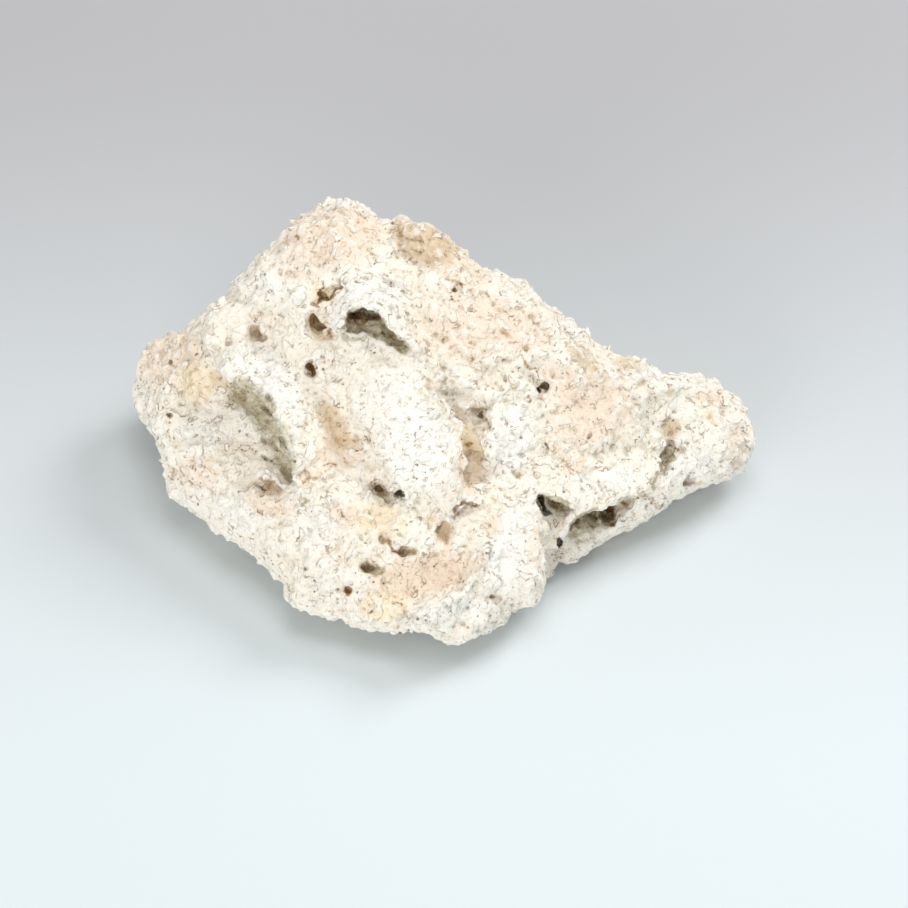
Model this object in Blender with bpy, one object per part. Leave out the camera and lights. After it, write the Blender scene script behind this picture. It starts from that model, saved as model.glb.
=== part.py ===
"""Limestone rock: one block of pale, weathered limestone with a peaked crest, a broad carved face
below it, a deep scoop on the left and a low tail on the right with a hollow under its brow.

The rock is carved face up. There +X runs across the face, +Y up the face towards the crest and +Z
out of it, in millimetres. It is then tipped back onto its foot, the foot is cut level, and the rock
is brought to metres with its origin at the bottom centre of its box.
"""

import math
from contextlib import contextmanager
from dataclasses import dataclass

import bmesh
import bpy
import numpy as np
from mathutils import Matrix, Vector, noise

NODE_NAME = "limestone_rock"

# Driving dimensions, in millimetres and degrees.
MM = 0.001
FACE_SLOPE = 50.0  # how far the carved face leans back from level
FOOT_DEPTH = 20.0  # from the middle of the face straight down to the ground
ROUGH_GRAIN = 1.0  # cell of the skin while the main forms are raised
FINE_GRAIN = 0.7  # cell of the skin once the hollows are cut
CUTTER_GRAIN = 0.4  # cell of the skin that joins a hollow's balls
MOST_TRIANGLES = 9800
FACE_KEPT = 0.6  # how much more of the carved face than of the other sides is kept in thinning
FACE_FADE = (-0.4, 0.5)  # how far a surface faces out where that starts, and where it is full
CRUST_BEHIND = 1.0  # how much rougher the crust is where it faces away from the carved face
SWELLING = (17.0, 1.8, 3)  # cell, depth and seed of the swelling of the whole block
KNOBS = (7.0, 0.7, 4)  # the same of the crust's knobs
CRUMBS = (3.2, 0.3, 5)  # the same of the smaller ones between them
WANDER = (5.0, 0.6)  # cell and reach of the wandering that keeps lines on the rock from running true
BLOCK_SOFTENING = 5  # rounds of softening of the uncarved block
FACING_OUT = 0.35  # how far a surface must face out of a side before that side's forms lift it fully
END_FADE = 0.13  # share of a fold's or a ledge's length over which it dies away at each end
LIP_BACKING = 3.0  # how far behind its lip a ledge is drawn out, as a share of the overhang
HEADING_REACH = 3.5  # how far the heading of one stretch of a lip is blended with the next
BALL_STEP = 0.8  # from one cutter of a hollow to the next
BALLS_APART = 7  # from the first seed of one hollow's cutters to that of the next's
BALL_SINK = 0.35  # how far below the face a cutter's middle lies, as a share of its depth
BALL_CROOK = 0.25  # how uneven a cutter's skin is
BALL_LUMPS = 1.6  # how many lumps a cutter's unevenness has across its radius
END_DEPTH = 0.6  # depth of a hollow's ends, as a share of its depth in the middle

LIMESTONE_COLOUR = (0.80, 0.71, 0.58, 1.0)
LIMESTONE_ROUGHNESS = 0.95

# The rim, where the face turns over to the back: across, up and out of the face, clockwise from
# the tip of the left knob.
RIM = (
    (-65.2, 8.5, -17), (-65.2, 14, -18), (-64, 20.3, -18), (-60.6, 24.6, -16), (-55.2, 26.4, -13),
    (-50.6, 28.6, -10), (-47.6, 31.6, -7.5), (-43.2, 36.6, -6.5), (-40.2, 40.8, -6), (-37.2, 42.9, -6),
    (-34.6, 46, -6), (-31, 48.4, -5.5), (-29, 50, -5), (-24.8, 51.1, -5), (-21.4, 53.1, -4.5),
    (-18, 50.9, -4), (-14.6, 48.0, -4.5), (-11.4, 50.4, -5), (-7.6, 48.2, -4.5), (-3, 46.4, -4),
    (0.4, 42.6, -2), (4.8, 37.2, -1), (9.8, 36, -1), (14.2, 34.4, -1), (18.4, 31, -1.5),
    (20.2, 28.4, -2), (23.8, 28, -2), (26.8, 24.4, -1.5), (29, 21.2, -1.5), (32.8, 19.3, -3),
    (37.8, 19.6, -5), (41.4, 17.2, -6), (46.2, 17.8, -8.5), (51.6, 15.4, -11), (56.4, 11.6, -12.5),
    (60, 6.8, -12), (60.8, 1.8, -11), (58.4, -3.2, -10.5), (54.4, -6, -10.5), (48.2, -8.2, -10.5),
    (43.4, -9.8, -10), (41.2, -12.3, -9.5), (36.6, -14.9, -8), (31.4, -17.4, -7), (27, -20.8, -4.5),
    (23.6, -22.8, -3), (20.6, -21.6, -2), (18.7, -19, 1), (18, -23, 6), (17.9, -29.3, 9),
    (14, -31.6, 11), (10.8, -33.2, 12), (9, -35.8, 13), (2, -38, 14), (-4.5, -36.2, 14),
    (-9.5, -35.7, 13.5), (-13.5, -36.8, 13), (-21, -34.2, 11), (-25.5, -33.1, 10), (-31, -31.2, 8.5),
    (-34, -27, 7), (-39.8, -21, 3), (-46.6, -16.5, -1), (-52.8, -12, -4), (-57.6, -7.2, -7),
    (-59.8, 0, -12), (-62.6, 4.2, -15),
)
# The spine of the face and the keel of the underside, which the rim closes to, left to right.
SPINE = ((-44, 12, -3), (-27, 13, 7), (-8, 8, 11), (8, 4, 10), (26, 6, 6), (46, 5, -2))
KEEL = ((-42, 9, -33), (-26, 9, -35), (-8, 7, -33.5), (9, 4, -31), (26, 2, -29.5), (40, 1, -26))
# The rings of the block: how far each has come from the rim, as a share of the whole, and its lift.
FACE_STEPS = ((0.05, 2.0), (0.13, 3.8), (0.25, 5.2), (0.42, 5.0), (0.62, 3.2), (0.82, 1.2), (0.96, 0.1))
BACK_STEPS = ((0.04, -3.0), (0.12, -6.5), (0.26, -8.5), (0.45, -7.0), (0.7, -3.5), (0.96, -0.5))


@dataclass(frozen=True)
class Swell:
    """An oval rise of the face, or a basin where its rise is negative."""

    name: str
    across: float
    up: float
    half_length: float
    half_width: float
    turn: float
    rise: float


@dataclass(frozen=True)
class Fold:
    """A rounded ridge along a path, or a trough where its rise is negative."""

    name: str
    path: tuple
    half_width: float
    rise: float


@dataclass(frozen=True)
class Ledge:
    """A bench whose lip follows a path: high on the left of travel, falling off on its right.

    The step is as high as rise and as long as run, the bench dies away over reach behind it, and
    its lip is drawn out over its foot by overhang.
    """

    name: str
    path: tuple
    rise: float
    run: float
    reach: float
    overhang: float = 0.0


@dataclass(frozen=True)
class Cavity:
    """A hollow cut in along a path of places and widths, which leans across and up as it goes in."""

    name: str
    path: tuple
    depth: float
    lean: tuple = (0.0, 0.0)


FACE_SWELLS = (
    Swell("left knob", -57, 19, 7, 6, 30, 1.2),
    Swell("scoop floor", -38, 2, 14, 7, -62, -1.8),
    Swell("plate's hollow", -51, 12, 6, 5, -20, -1.4),
    Swell("swelling of the plate", -49, -1, 6, 8, 0, 1.6),
    Swell("lump at the head of the ridge", -43, 25, 6, 5, -30, 2.0),
    Swell("knuckle on the ridge", -34, 16.5, 4.5, 4, 0, 1.6),
    Swell("knuckle below it", -29.5, 8, 4, 3.4, -60, 1.0),
    Swell("white lump above the scoop", -32.5, 31.5, 5, 4, -20, 2.0),
    Swell("lump above the ridge", -27, 20.5, 4.5, 3.2, 20, 1.4),
    Swell("flank of the peak", -38, 34, 6, 5, 40, 1.6),
    Swell("peak", -22.5, 44.5, 8, 6, 8, 2.2),
    Swell("lump behind the peak", -31, 45, 4.5, 3.5, 30, 1.4),
    Swell("tan shoulder", -6, 43.5, 7, 4.6, -25, 2.4),
    Swell("arch crown", -16, 30, 10, 6, -12, 3.2),
    Swell("arch's right leg", -8.4, 24.6, 5.5, 3.4, -58, 2.0),
    Swell("tongue", -10.5, 4, 17, 9.5, 118, 4.6),
    Swell("tongue's root", -18, 17, 7, 5.5, 20, 1.6),
    Swell("brow lump", -1, 16.5, 6, 4.6, -20, 1.8),
    Swell("lump over the slot", -2, 28.5, 5.5, 4, -35, 1.4),
    Swell("white lump", 11.5, 4, 9, 5.6, 82, 3.4),
    Swell("pocket beside the tongue", 3.6, -1.5, 7, 3.6, 96, -2.8),
    Swell("right bench", 26, 8, 13, 11, 20, 2.6),
    Swell("dish on the bench", 27, 10, 7, 5, 15, -1.0),
    Swell("lump at the bench's corner", 34.5, -2.5, 6.5, 5, 30, 1.6),
    Swell("shoulder lump", 10, 19.5, 7, 4.5, -15, 1.8),
    Swell("lump on the crest", 17, 29, 5, 3.4, -40, 1.8),
    Swell("second lump on the crest", 9, 32.5, 4.6, 3, -15, 1.4),
    Swell("white lump at the saddle", 43, 14, 3.6, 3, 0, 1.8),
    Swell("tan lump at the saddle", 37.3, 16.8, 3.2, 2.6, 0, 1.4),
    Swell("tail crown", 50, 4, 8, 7, -30, 1.6),
    Swell("front basin", -5, -24.5, 13, 5.5, 14, -4.2),
    Swell("left foreland", -22.5, -9.5, 6.5, 5, 20, 2.6),
    Swell("foreland below it", -26, -21, 8, 6, -25, 1.8),
    Swell("foreland dome", -41, -9, 7, 5, -20, 2.0),
    Swell("lumps at the lower left", -29.5, -28.5, 4, 3, -30, 1.6),
    Swell("lump over the mouth", -18.5, -18.5, 4.2, 3, -10, 1.6),
    Swell("lump left of the red hole", -27.5, -25, 3.6, 2.6, -40, 1.2),
    Swell("lump at the foot of the basin", -16, -30.5, 4, 2.6, -15, 1.4),
    Swell("lump on the lower left flank", -35.5, -16.5, 4.4, 3.4, -35, 1.5),
    Swell("block above the basin", -6, -17.5, 5, 2.6, 10, 1.6),
    Swell("shelf below the black hole", 13.5, -19, 9, 4.5, 80, 2.4),
    Swell("recess on the shelf", 8.4, -14.6, 2.4, 2.0, 60, -1.6),
    Swell("nodule in the valley", -18.7, 4.2, 2.0, 1.8, 0, 1.8),
    Swell("nodule above it", -22.8, 7.2, 1.9, 2.3, 0, 1.2),
    Swell("recess on the ridge", -39.5, 24.2, 2.6, 1.8, -50, -2.0),
    Swell("tan recess below the crest", 10.2, 24.4, 2.8, 1.6, -30, -1.8),
)
FACE_FOLDS = (
    Fold("scoop ridge", ((-47, 22), (-42, 18), (-36.5, 14), (-32, 8.5), (-29.8, 3), (-27.6, -3)), 5.5, 4.0),
    Fold("front rim", ((-8, -30.6), (-1, -28.4), (4, -24.5), (7, -19), (9.5, -12)), 4.4, 3.4),
    Fold("valley by the tongue", ((-26.5, 13), (-25, 7), (-22.5, 2), (-20, -2)), 3.4, -2.4),
    Fold("crest gully", ((-14.6, 48.5), (-12, 44.5), (-10, 39.5), (-5.6, 36.5)), 2.6, -3.0),
    Fold("gully behind the bench", ((2, 30.5), (9, 28.5), (15, 25.5), (21, 23), (27, 18.6),
         (32.5, 13.5)), 2.6, -1.8),
    Fold("cleft above the ridge", ((-27, 31), (-26.6, 26), (-25, 22.4), (-21.5, 20.8)), 2.2, -1.8),
    Fold("crease below the white lump", ((-39, 28.6), (-35, 27), (-31.5, 25.4)), 1.8, -1.2),
    Fold("crease right of the arch", ((-5, 24.5), (-4, 20), (-5.4, 15), (-5, 11)), 2.0, -1.4),
    Fold("crease under the shoulder", ((3.8, 17.6), (8, 15.6), (12, 16.4), (16, 17.8)), 1.8, -1.3),
    Fold("groove across the tail", ((42, 8), (43, 3), (41.5, -2), (38.6, -6)), 2.2, -2.4),
    Fold("rim below the brow", ((19.4, -20.4), (23.5, -21.6), (27.5, -19), (32, -16), (37, -13.6),
         (41.5, -10.4), (47.5, -7.6)), 2.0, 1.4),
    Fold("strut across the hollow", ((28, -10.6), (24.4, -11.5), (22, -14), (20.2, -17.4), (18.8, -19.6)),
         1.7, 3.0),
    Fold("furrow of the foreland", ((-19, -12), (-23, -14.6), (-27, -15.6), (-31, -17.5)), 2.0, -1.4),
    Fold("rim of the lower left", ((-13, -31), (-18, -28.5), (-22.5, -27.5)), 2.0, 1.0),
)
FACE_LEDGES = (
    Ledge("scoop lip", ((-48.5, 19.2), (-44, 16.4), (-40, 14.2), (-36.6, 11.2), (-34.9, 8), (-33.7, 4),
          (-31.7, 0.6), (-30.6, -3.6), (-30.4, -7)), 4.6, 1.2, 8, 2.0),
    Ledge("plate edge", ((-50, 19.6), (-54, 18.4), (-56.5, 15.5), (-57.3, 11), (-58.4, 6), (-58.2, 0),
          (-57, -4)), 3.4, 1.2, 7, 0.4),
    Ledge("knob crease", ((-47.3, 31), (-49.6, 26), (-50.2, 20)), 4.2, 1.4, 7),
    Ledge("arch lip", ((-26.5, 23.6), (-23.6, 24.9), (-21.5, 27.6), (-19.4, 28.8), (-15.6, 28.5),
          (-13.4, 26), (-12, 23.4), (-8.4, 19.6)), 4.0, 0.8, 6, 1.3),
    Ledge("tongue's right edge", ((-2, -11.6), (0.5, -7), (1.0, 0), (0.2, 5), (-2, 8.6), (-5.4, 12.6)),
          3.6, 0.8, 7, 1.2),
    Ledge("tongue's left edge", ((-21.4, 13), (-19.6, 9), (-16.6, 4.5), (-16.2, 1), (-13, -2.2),
          (-9.9, -7), (-8.5, -11)), 1.3, 1.0, 7),
    Ledge("bench edge", ((35.4, 0.5), (36.2, 5), (35, 8.2), (33, 10.5), (32.8, 13), (29, 16.9),
          (24, 20.8), (20, 25)), 2.4, 0.9, 7, 0.5),
    Ledge("brow", ((16.6, -7.6), (20, -7.6), (23, -8.6), (26, -9.7), (29.6, -9.5), (32, -7.8), (37, -6.6),
          (40.3, -4), (41.6, 0)), 3.8, 0.8, 8, 0.9),
    Ledge("notch lip", ((16, -30), (16.4, -25), (17.2, -20), (18.2, -15), (20.4, -12.4)), 2.6, 0.8, 6),
    Ledge("white lump's edge", ((17.8, 8), (15.6, 11.6), (11.6, 12.6), (8.4, 11), (7.2, 7.6), (6.4, 3),
          (6.8, -3)), 2.4, 0.9, 5, 0.8),
    Ledge("lip below the tongue", ((-0.4, -13.6), (0, -11.2), (1.6, -9.5), (5.5, -10.1)), 1.8, 0.8, 4, 0.8),
    Ledge("front overhang", ((-12, -32.2), (-6.5, -32.4), (-3.5, -33.3), (0, -35.4)), 2.2, 0.8, 6, 0.8),
    Ledge("foreland lip", ((-22, -3.4), (-26, -5), (-30, -7.2), (-34, -9.4)), 2.6, 1.0, 6, 0.3),
    Ledge("step on the crest", ((20.6, 26), (14, 29), (9, 31), (3, 33.5)), -1.2, 1.0, 6),
)
FACE_CAVITIES = (
    Cavity("arch cave", ((-20, 26, 3.8), (-17.4, 26.4, 4.2), (-15, 25, 4.2)), 9.0, (0.0, 0.6)),
    Cavity("arch cave's tail", ((-14, 24, 3.6), (-12, 22, 3), (-9.4, 20.2, 2)), 4.8, (0.15, 0.5)),
    Cavity("scoop under the lip", ((-41, 12.6, 4), (-37.4, 9.4, 5), (-35.6, 5, 5), (-33.6, 1, 4.6),
           (-32.4, -4.6, 4)), 4.0, (0.7, 0.5)),
    Cavity("black slot", ((17.2, -8.8, 1.8), (18.8, -12, 2.2)), 8.0, (-0.7, 0.3)),
    Cavity("black slot's apron", ((19.4, -9.8, 3.2), (22.8, -10, 2.2)), 3.2, (0.0, 0.3)),
    Cavity("hollow under the brow", ((23, -15.4, 3), (26, -13.2, 5.2), (30.4, -12, 4.6), (34.8, -9.9, 2.6)),
           5.0, (0.05, 0.2)),
    Cavity("deep end of that hollow", ((29.8, -12.4, 2.2), (31.4, -13, 2.6)), 8.0, (0.1, 0.2)),
    Cavity("hole beside the white lump", ((4.6, 7, 2.2), (6, 7.8, 2.2), (7.4, 5.2, 1.4)), 5.0, (-0.1, 0.4)),
    Cavity("hole on the bench", ((16.5, 12.6, 1.7), (17.3, 13.3, 1.6), (18.4, 13.4, 1.6)), 6.5, (-0.1, 0.1)),
    Cavity("pit below it", ((17, 11.6, 1.8), (17.2, 9.4, 1.8)), 1.8),
    Cavity("slot below the crest", ((-2, 34.8, 1.6), (0.8, 32.3, 2.2)), 4.8, (0.1, 0.3)),
    Cavity("hole on the scoop ridge", ((-28.3, 17.6, 2), (-28.1, 16.2, 2.2)), 3.8),
    Cavity("rusty pit", ((-28, 27.2, 2), (-27.2, 24.6, 2.6)), 3.8, (0.2, 0.2)),
    Cavity("second rusty pit", ((-25, 25.8, 1.8), (-24, 23.2, 1.8)), 2.6),
    Cavity("rusty crack", ((-28.4, 30, 1.4), (-25.6, 31.2, 1.4), (-22, 33.6, 1.6)), 2.8),
    Cavity("pit on the tongue's flank", ((-15.6, -6, 2.4), (-13, -9, 3)), 3.6),
    Cavity("black hole at the tongue", ((-10.9, -8, 2.4),), 6.5, (0.5, 0.4)),
    Cavity("round pocket", ((-2.2, -14.2, 3.8), (-1.6, -16.6, 4)), 3.8, (-0.2, 0.3)),
    Cavity("mouth in the basin", ((-17.2, -22.6, 2.2), (-14.6, -23.2, 2.2)), 4.0, (-0.1, 0.3)),
    Cavity("crevice in the basin", ((-13.8, -17.2, 1.6), (-11.6, -19.6, 2), (-6.8, -19.6, 1.6)), 3.0,
           (0.0, 0.3)),
    Cavity("red hole", ((-21, -27, 1.8),), 3.0),
    Cavity("hole in the front rim", ((7.2, -28.5, 1.8), (9, -28.8, 2.2)), 3.8, (0.0, 0.3)),
    Cavity("nook by the scoop", ((-39.8, -6.2, 1.8), (-36, -7.6, 2.4)), 3.2, (0.2, 0.4)),
    Cavity("slit at the notch", ((20.4, -17.6, 1.6), (21.2, -19.4, 1.8)), 6.0, (-0.7, 0.2)),
    Cavity("groove in the tail", ((44, 1.6, 2.4), (42.2, -2, 2.4), (40, -5, 2)), 3.2, (-0.4, 0.3)),
    Cavity("slot in the tail", ((45.6, -5.8, 1.6), (49, -5.4, 1.6)), 2.6),
    Cavity("dashed crack", ((18.2, 1.2, 1.4), (18.6, 4, 1.2), (23.8, 4.2, 1.2)), 1.8),
    Cavity("pocket in the valley", ((-20.8, 3.4, 1.8), (-18.6, 1.6, 2.2)), 2.4, (0.3, 0.2)),
    Cavity("notch in the crest", ((10.4, 33.8, 1.2), (11, 30.6, 1.4)), 2.0),
    Cavity("cracks of the shoulder", ((-11.6, 45.8, 1.4), (-9.4, 43.2, 1.6), (-6, 42.2, 1.4)), 2.2),
    Cavity("recess on the ridge", ((-40.8, 25, 1.8), (-38.6, 23, 2.2)), 2.8, (0.2, -0.2)),
)
# The back is carved as it stands when the rock is turned on the X axis by BACK_TURN: there its
# crest is at about -18 and its foot at about 27.
BACK_TURN = 115.0
BACK_SWELLS = (
    Swell("shoulder of the back", -24, -3, 13, 10, 10, 3.4),
    Swell("hollow of the back", 3, 1, 11, 8, -15, -4.6),
    Swell("lump on its right", 26, 1, 9, 7, 10, 3.0),
    Swell("dish behind the knob", -45, 3, 8, 9, 0, -3.4),
    Swell("foot of the back", -10, 19, 16, 6, 5, 2.6),
    Swell("lump low on the right", 37, 13, 8, 5, -10, 2.2),
    Swell("dish behind the tail", 46, 3, 7, 5, 20, -2.0),
)
BACK_FOLDS = (
    Fold("gully down the back", ((-10, -16), (-12, -8), (-9, 0), (-13, 9), (-11, 18)), 3.4, -2.8),
    Fold("rib on the right", ((14, -10), (17, -2), (15, 6), (19, 15)), 3.2, 2.4),
    Fold("crease behind the knob", ((-36, -12), (-38, -4), (-35, 5), (-38, 14)), 3.0, -2.6),
)
BACK_LEDGES = (
    Ledge("brow of the hollow", ((16, -3), (10, -7), (1, -8), (-7, -5), (-9, 2)), 3.2, 1.0, 7, 1.6),
    Ledge("bench at the foot", ((-44, 12), (-32, 9), (-21, 12), (-9, 9), (5, 12), (17, 9)),
          2.8, 1.0, 7, 0.6),
    Ledge("lip on the shoulder", ((-15, -9), (-24, -6), (-33, -8)), 2.4, 1.0, 6, 1.2),
    Ledge("lip on the right", ((42, 4), (34, 1), (26, 5), (20, 2)), 2.6, 1.0, 7, 1.2),
)
BACK_CAVITIES = (
    Cavity("hole in the hollow", ((1, -4, 4), (5, -5, 3)), 6.0, (0.1, -0.4)),
    Cavity("slot under the shoulder", ((-28, 0, 2.4), (-22, 2.6, 3)), 4.5, (0.1, -0.5)),
    Cavity("hole on the right", ((28, 7, 3.4),), 5.0, (0.3, -0.3)),
    Cavity("pits at the foot", ((-18, 15, 2.4), (-15, 16, 1.8)), 3.0),
    Cavity("hole behind the knob", ((-47, 6, 3.2), (-45, 8, 2.4)), 4.5),
    Cavity("slit in the gully", ((-11, 5, 1.8), (-11, 9, 2.2)), 3.5),
    Cavity("pit near the tail", ((47, 8, 2.6),), 3.2),
)
# The underside is dished, so that the rock stands on the ends and edges of its foot: the middle of
# each dish in the carving frame, its radius and its sink.
DISHES = (
    ((-20, -5, -25), 18, 6.5), ((14, -8, -21), 13, 5.0), ((-8, 6, -32), 11, 4.0),
    ((-46, 4, -28), 9, 2.5), ((38, -1, -25), 9, 2.5), ((24, 4, -30), 8, 3.0),
)
# Pits are scattered where the surface faces away from the carved face.
PIT_COUNT = 46
PIT_RADII = (0.9, 2.6)
PIT_OVALS = (0.5, 1.0)  # their width as a share of their length
PIT_FACING = 0.1  # how far their place may still face out of the carved face
PIT_SEED = 500


@dataclass(frozen=True)
class Side:
    """What is carved on one side, and how far the rock is turned on the X axis to carve it."""

    turn: float
    swells: tuple
    folds: tuple
    ledges: tuple
    cavities: tuple


FACE = Side(0.0, FACE_SWELLS, FACE_FOLDS, FACE_LEDGES, FACE_CAVITIES)
BACK = Side(BACK_TURN, BACK_SWELLS, BACK_FOLDS, BACK_LEDGES, BACK_CAVITIES)


NOISE_SHIFT = Vector((17.3, -9.1, 5.7))  # from the noise of one seed to that of the next
TINY = 1e-9  # keeps a sum from being nothing
MERGE_DISTANCE = 1e-4  # how close to the ground a point counts as on it


def smooth_step(edge0, edge1, values):
    """0 below edge0, 1 above edge1 and a smooth ramp between them."""
    t = np.clip((values - edge0) / (edge1 - edge0), 0.0, 1.0)
    return t * t * (3.0 - 2.0 * t)


def noise_at(points, cell, seed, octaves=3):
    """Fractal noise at each point, about -1 to 1, with lumps as wide as cell."""
    shift = seed * NOISE_SHIFT
    return np.array(
        [noise.fractal(Vector(p) / cell + shift, 1.0, 2.0, octaves) for p in points.tolist()]
    )


def points_of(mesh):
    """The mesh's vertices as an array of rows."""
    found = np.empty(len(mesh.vertices) * 3, np.float32)
    mesh.vertices.foreach_get("co", found)
    return found.reshape(-1, 3).astype(float)


def normals_of(mesh):
    """The mesh's vertex normals as an array of rows."""
    found = np.empty(len(mesh.vertices) * 3, np.float32)
    mesh.vertices.foreach_get("normal", found)
    return found.reshape(-1, 3).astype(float)


def set_points(mesh, points):
    """Moves the mesh's vertices."""
    mesh.vertices.foreach_set("co", points.astype(np.float32).ravel())
    mesh.update()


def path_distance(plan, path):
    """Each point's distance from a path in the face, which side it is on and how far along it is."""
    nodes = np.array(path, float)
    lengths = np.linalg.norm(np.diff(nodes, axis=0), axis=1)
    starts = np.concatenate([[0.0], np.cumsum(lengths)])
    best = np.full(len(plan), np.inf)
    side = np.zeros(len(plan))
    along = np.zeros(len(plan))
    for a, b, length, start in zip(nodes[:-1], nodes[1:], lengths, starts):
        direction = (b - a) / length
        offset = plan - a
        t = np.clip(offset @ direction, 0.0, length)
        gap = offset - t[:, None] * direction
        distance = np.linalg.norm(gap, axis=1)
        nearer = distance < best
        best = np.where(nearer, distance, best)
        turn = direction[0] * offset[:, 1] - direction[1] * offset[:, 0]
        side = np.where(nearer, np.sign(turn), side)
        along = np.where(nearer, (start + t) / starts[-1], along)
    return best, side, along


def raise_swell(plan, swell):
    """How far an oval rise lifts each point."""
    angle = math.radians(swell.turn)
    c, s = math.cos(angle), math.sin(angle)
    x, y = plan[:, 0] - swell.across, plan[:, 1] - swell.up
    reach = ((x * c + y * s) / swell.half_length) ** 2 + ((y * c - x * s) / swell.half_width) ** 2
    return swell.rise * np.clip(1.0 - reach, 0.0, 1.0) ** 1.5


def between_ends(along):
    """1 along a path's middle, falling to 0 at its ends."""
    return smooth_step(0.0, END_FADE, along) * smooth_step(1.0, 1.0 - END_FADE, along)


def raise_fold(plan, fold):
    """How far a ridge or a trough lifts each point."""
    distance, _, along = path_distance(plan, fold.path)
    return fold.rise * between_ends(along) * (1.0 - smooth_step(0.0, 1.0, distance / fold.half_width))


def raise_ledge(plan, ledge):
    """How far a bench lifts each point: sharply from its lip, then dying away behind it."""
    distance, side, along = path_distance(plan, ledge.path)
    width = np.where(side > 0, ledge.reach, ledge.run)
    return ledge.rise * between_ends(along) * (1.0 - smooth_step(0.0, 1.0, distance / width))


def draw_out(plan, ledge):
    """How far a bench's lip is drawn out over its foot at each point, as moves in the face's plane."""
    nodes = np.array(ledge.path, float)
    distance, side, along = path_distance(plan, ledge.path)
    width = np.where(side > 0, LIP_BACKING * ledge.overhang, ledge.run)
    pull = ledge.overhang * between_ends(along) * (1.0 - smooth_step(0.0, 1.0, distance / width))
    steps = np.diff(nodes, axis=0)
    outward = np.stack([steps[:, 1], -steps[:, 0]], axis=1)
    outward /= np.linalg.norm(outward, axis=1)[:, None]
    middles = (nodes[:-1] + nodes[1:]) / 2
    gaps = np.linalg.norm(plan[:, None, :] - middles[None], axis=2)
    nearness = np.exp(-((gaps / HEADING_REACH) ** 2)) + TINY
    heading = (nearness @ outward) / nearness.sum(axis=1)[:, None]
    return heading * pull[:, None]


def add_object(name, mesh):
    """Links a mesh to the scene as an object."""
    made = bpy.data.objects.new(name, mesh)
    bpy.context.scene.collection.objects.link(made)
    return made


def baked(obj):
    """Replaces an object's mesh by what its modifiers make of it, and removes them."""
    graph = bpy.context.evaluated_depsgraph_get()
    mesh = bpy.data.meshes.new_from_object(obj.evaluated_get(graph))
    obj.modifiers.clear()
    obj.data = mesh
    return obj


def remesh(obj, cell):
    """Makes the surface one even skin of small quads."""
    even = obj.modifiers.new("even skin", "REMESH")
    even.mode = "VOXEL"
    even.voxel_size = cell
    return baked(obj)


def relax(obj, times, factor=0.5):
    """Rounds the surface off."""
    soften = obj.modifiers.new("soften", "SMOOTH")
    soften.iterations = times
    soften.factor = factor
    return baked(obj)


def nearest_on(path, point):
    """The point of a path that is nearest to a point, measured in the face's plane."""
    nodes = [Vector(p) for p in path]
    best, found = math.inf, nodes[0]
    for a, b in zip(nodes[:-1], nodes[1:]):
        run = (b - a).to_2d()
        t = min(1.0, max(0.0, (point.to_2d() - a.to_2d()).dot(run) / run.length_squared))
        candidate = a.lerp(b, t)
        distance = (candidate - point).to_2d().length
        if distance < best:
            best, found = distance, candidate
    return found


def block():
    """The uncarved block: rings of points from the rim in to the spine, and from it back to the keel."""
    rim = [Vector(p) for p in RIM]
    bm = bmesh.new()

    def ring(end_path, share, lift):
        return [
            bm.verts.new(p.lerp(nearest_on(end_path, p), share) + Vector((0, 0, lift))) for p in rim
        ]

    def bridge(outer, inner, flip):
        for i in range(len(outer)):
            j = (i + 1) % len(outer)
            corners = (outer[i], outer[j], inner[j], inner[i])
            bm.faces.new(corners[::-1] if flip else corners)

    edge = [bm.verts.new(p) for p in rim]
    for path, steps, flip in ((SPINE, FACE_STEPS, True), (KEEL, BACK_STEPS, False)):
        outer = edge
        for share, lift in steps:
            inner = ring(path, share, lift)
            bridge(outer, inner, flip)
            outer = inner
        bm.faces.new(outer[::-1] if flip else outer)
    bmesh.ops.triangulate(bm, faces=bm.faces)
    bmesh.ops.recalc_face_normals(bm, faces=bm.faces)
    mesh = bpy.data.meshes.new(NODE_NAME)
    bm.to_mesh(mesh)
    bm.free()
    return add_object(NODE_NAME, mesh)


def plan_of(points):
    """Each point's place in the plane of the face, wandering a little so that no line runs true."""
    cell, reach = WANDER
    return points[:, :2] + reach * np.stack([noise_at(points, cell, seed) for seed in (1, 2)], axis=1)


@contextmanager
def turned(rock, degrees):
    """Turns the rock on the X axis while one side is carved, and then back again."""
    rock.data.transform(Matrix.Rotation(math.radians(degrees), 4, "X"))
    yield
    rock.data.transform(Matrix.Rotation(math.radians(-degrees), 4, "X"))


def raise_forms(rock, side):
    """Raises and sinks the main forms of a side, straight out of it."""
    with turned(rock, side.turn):
        points, normals = points_of(rock.data), normals_of(rock.data)
        plan = plan_of(points)
        lift = sum(raise_swell(plan, swell) for swell in side.swells)
        lift += sum(raise_fold(plan, fold) for fold in side.folds)
        lift += sum(raise_ledge(plan, ledge) for ledge in side.ledges)
        points[:, 2] += lift * smooth_step(0.0, FACING_OUT, normals[:, 2])
        set_points(rock.data, points)


def undercut_ledges(rock, side):
    """Draws the lips of a side's ledges out, so that they overhang."""
    with turned(rock, side.turn):
        points, normals = points_of(rock.data), normals_of(rock.data)
        plan = plan_of(points)
        pull = sum(draw_out(plan, ledge) for ledge in side.ledges if ledge.overhang > 0)
        points[:, :2] += pull * smooth_step(-0.1, FACING_OUT, normals[:, 2])[:, None]
        set_points(rock.data, points)


def swell_all(rock, cell, depth, seed):
    """Swells and sinks the whole surface a little, along its normals."""
    mesh = rock.data
    points, normals = points_of(mesh), normals_of(mesh)
    set_points(mesh, points + normals * (depth * noise_at(points, cell, seed))[:, None])


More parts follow.
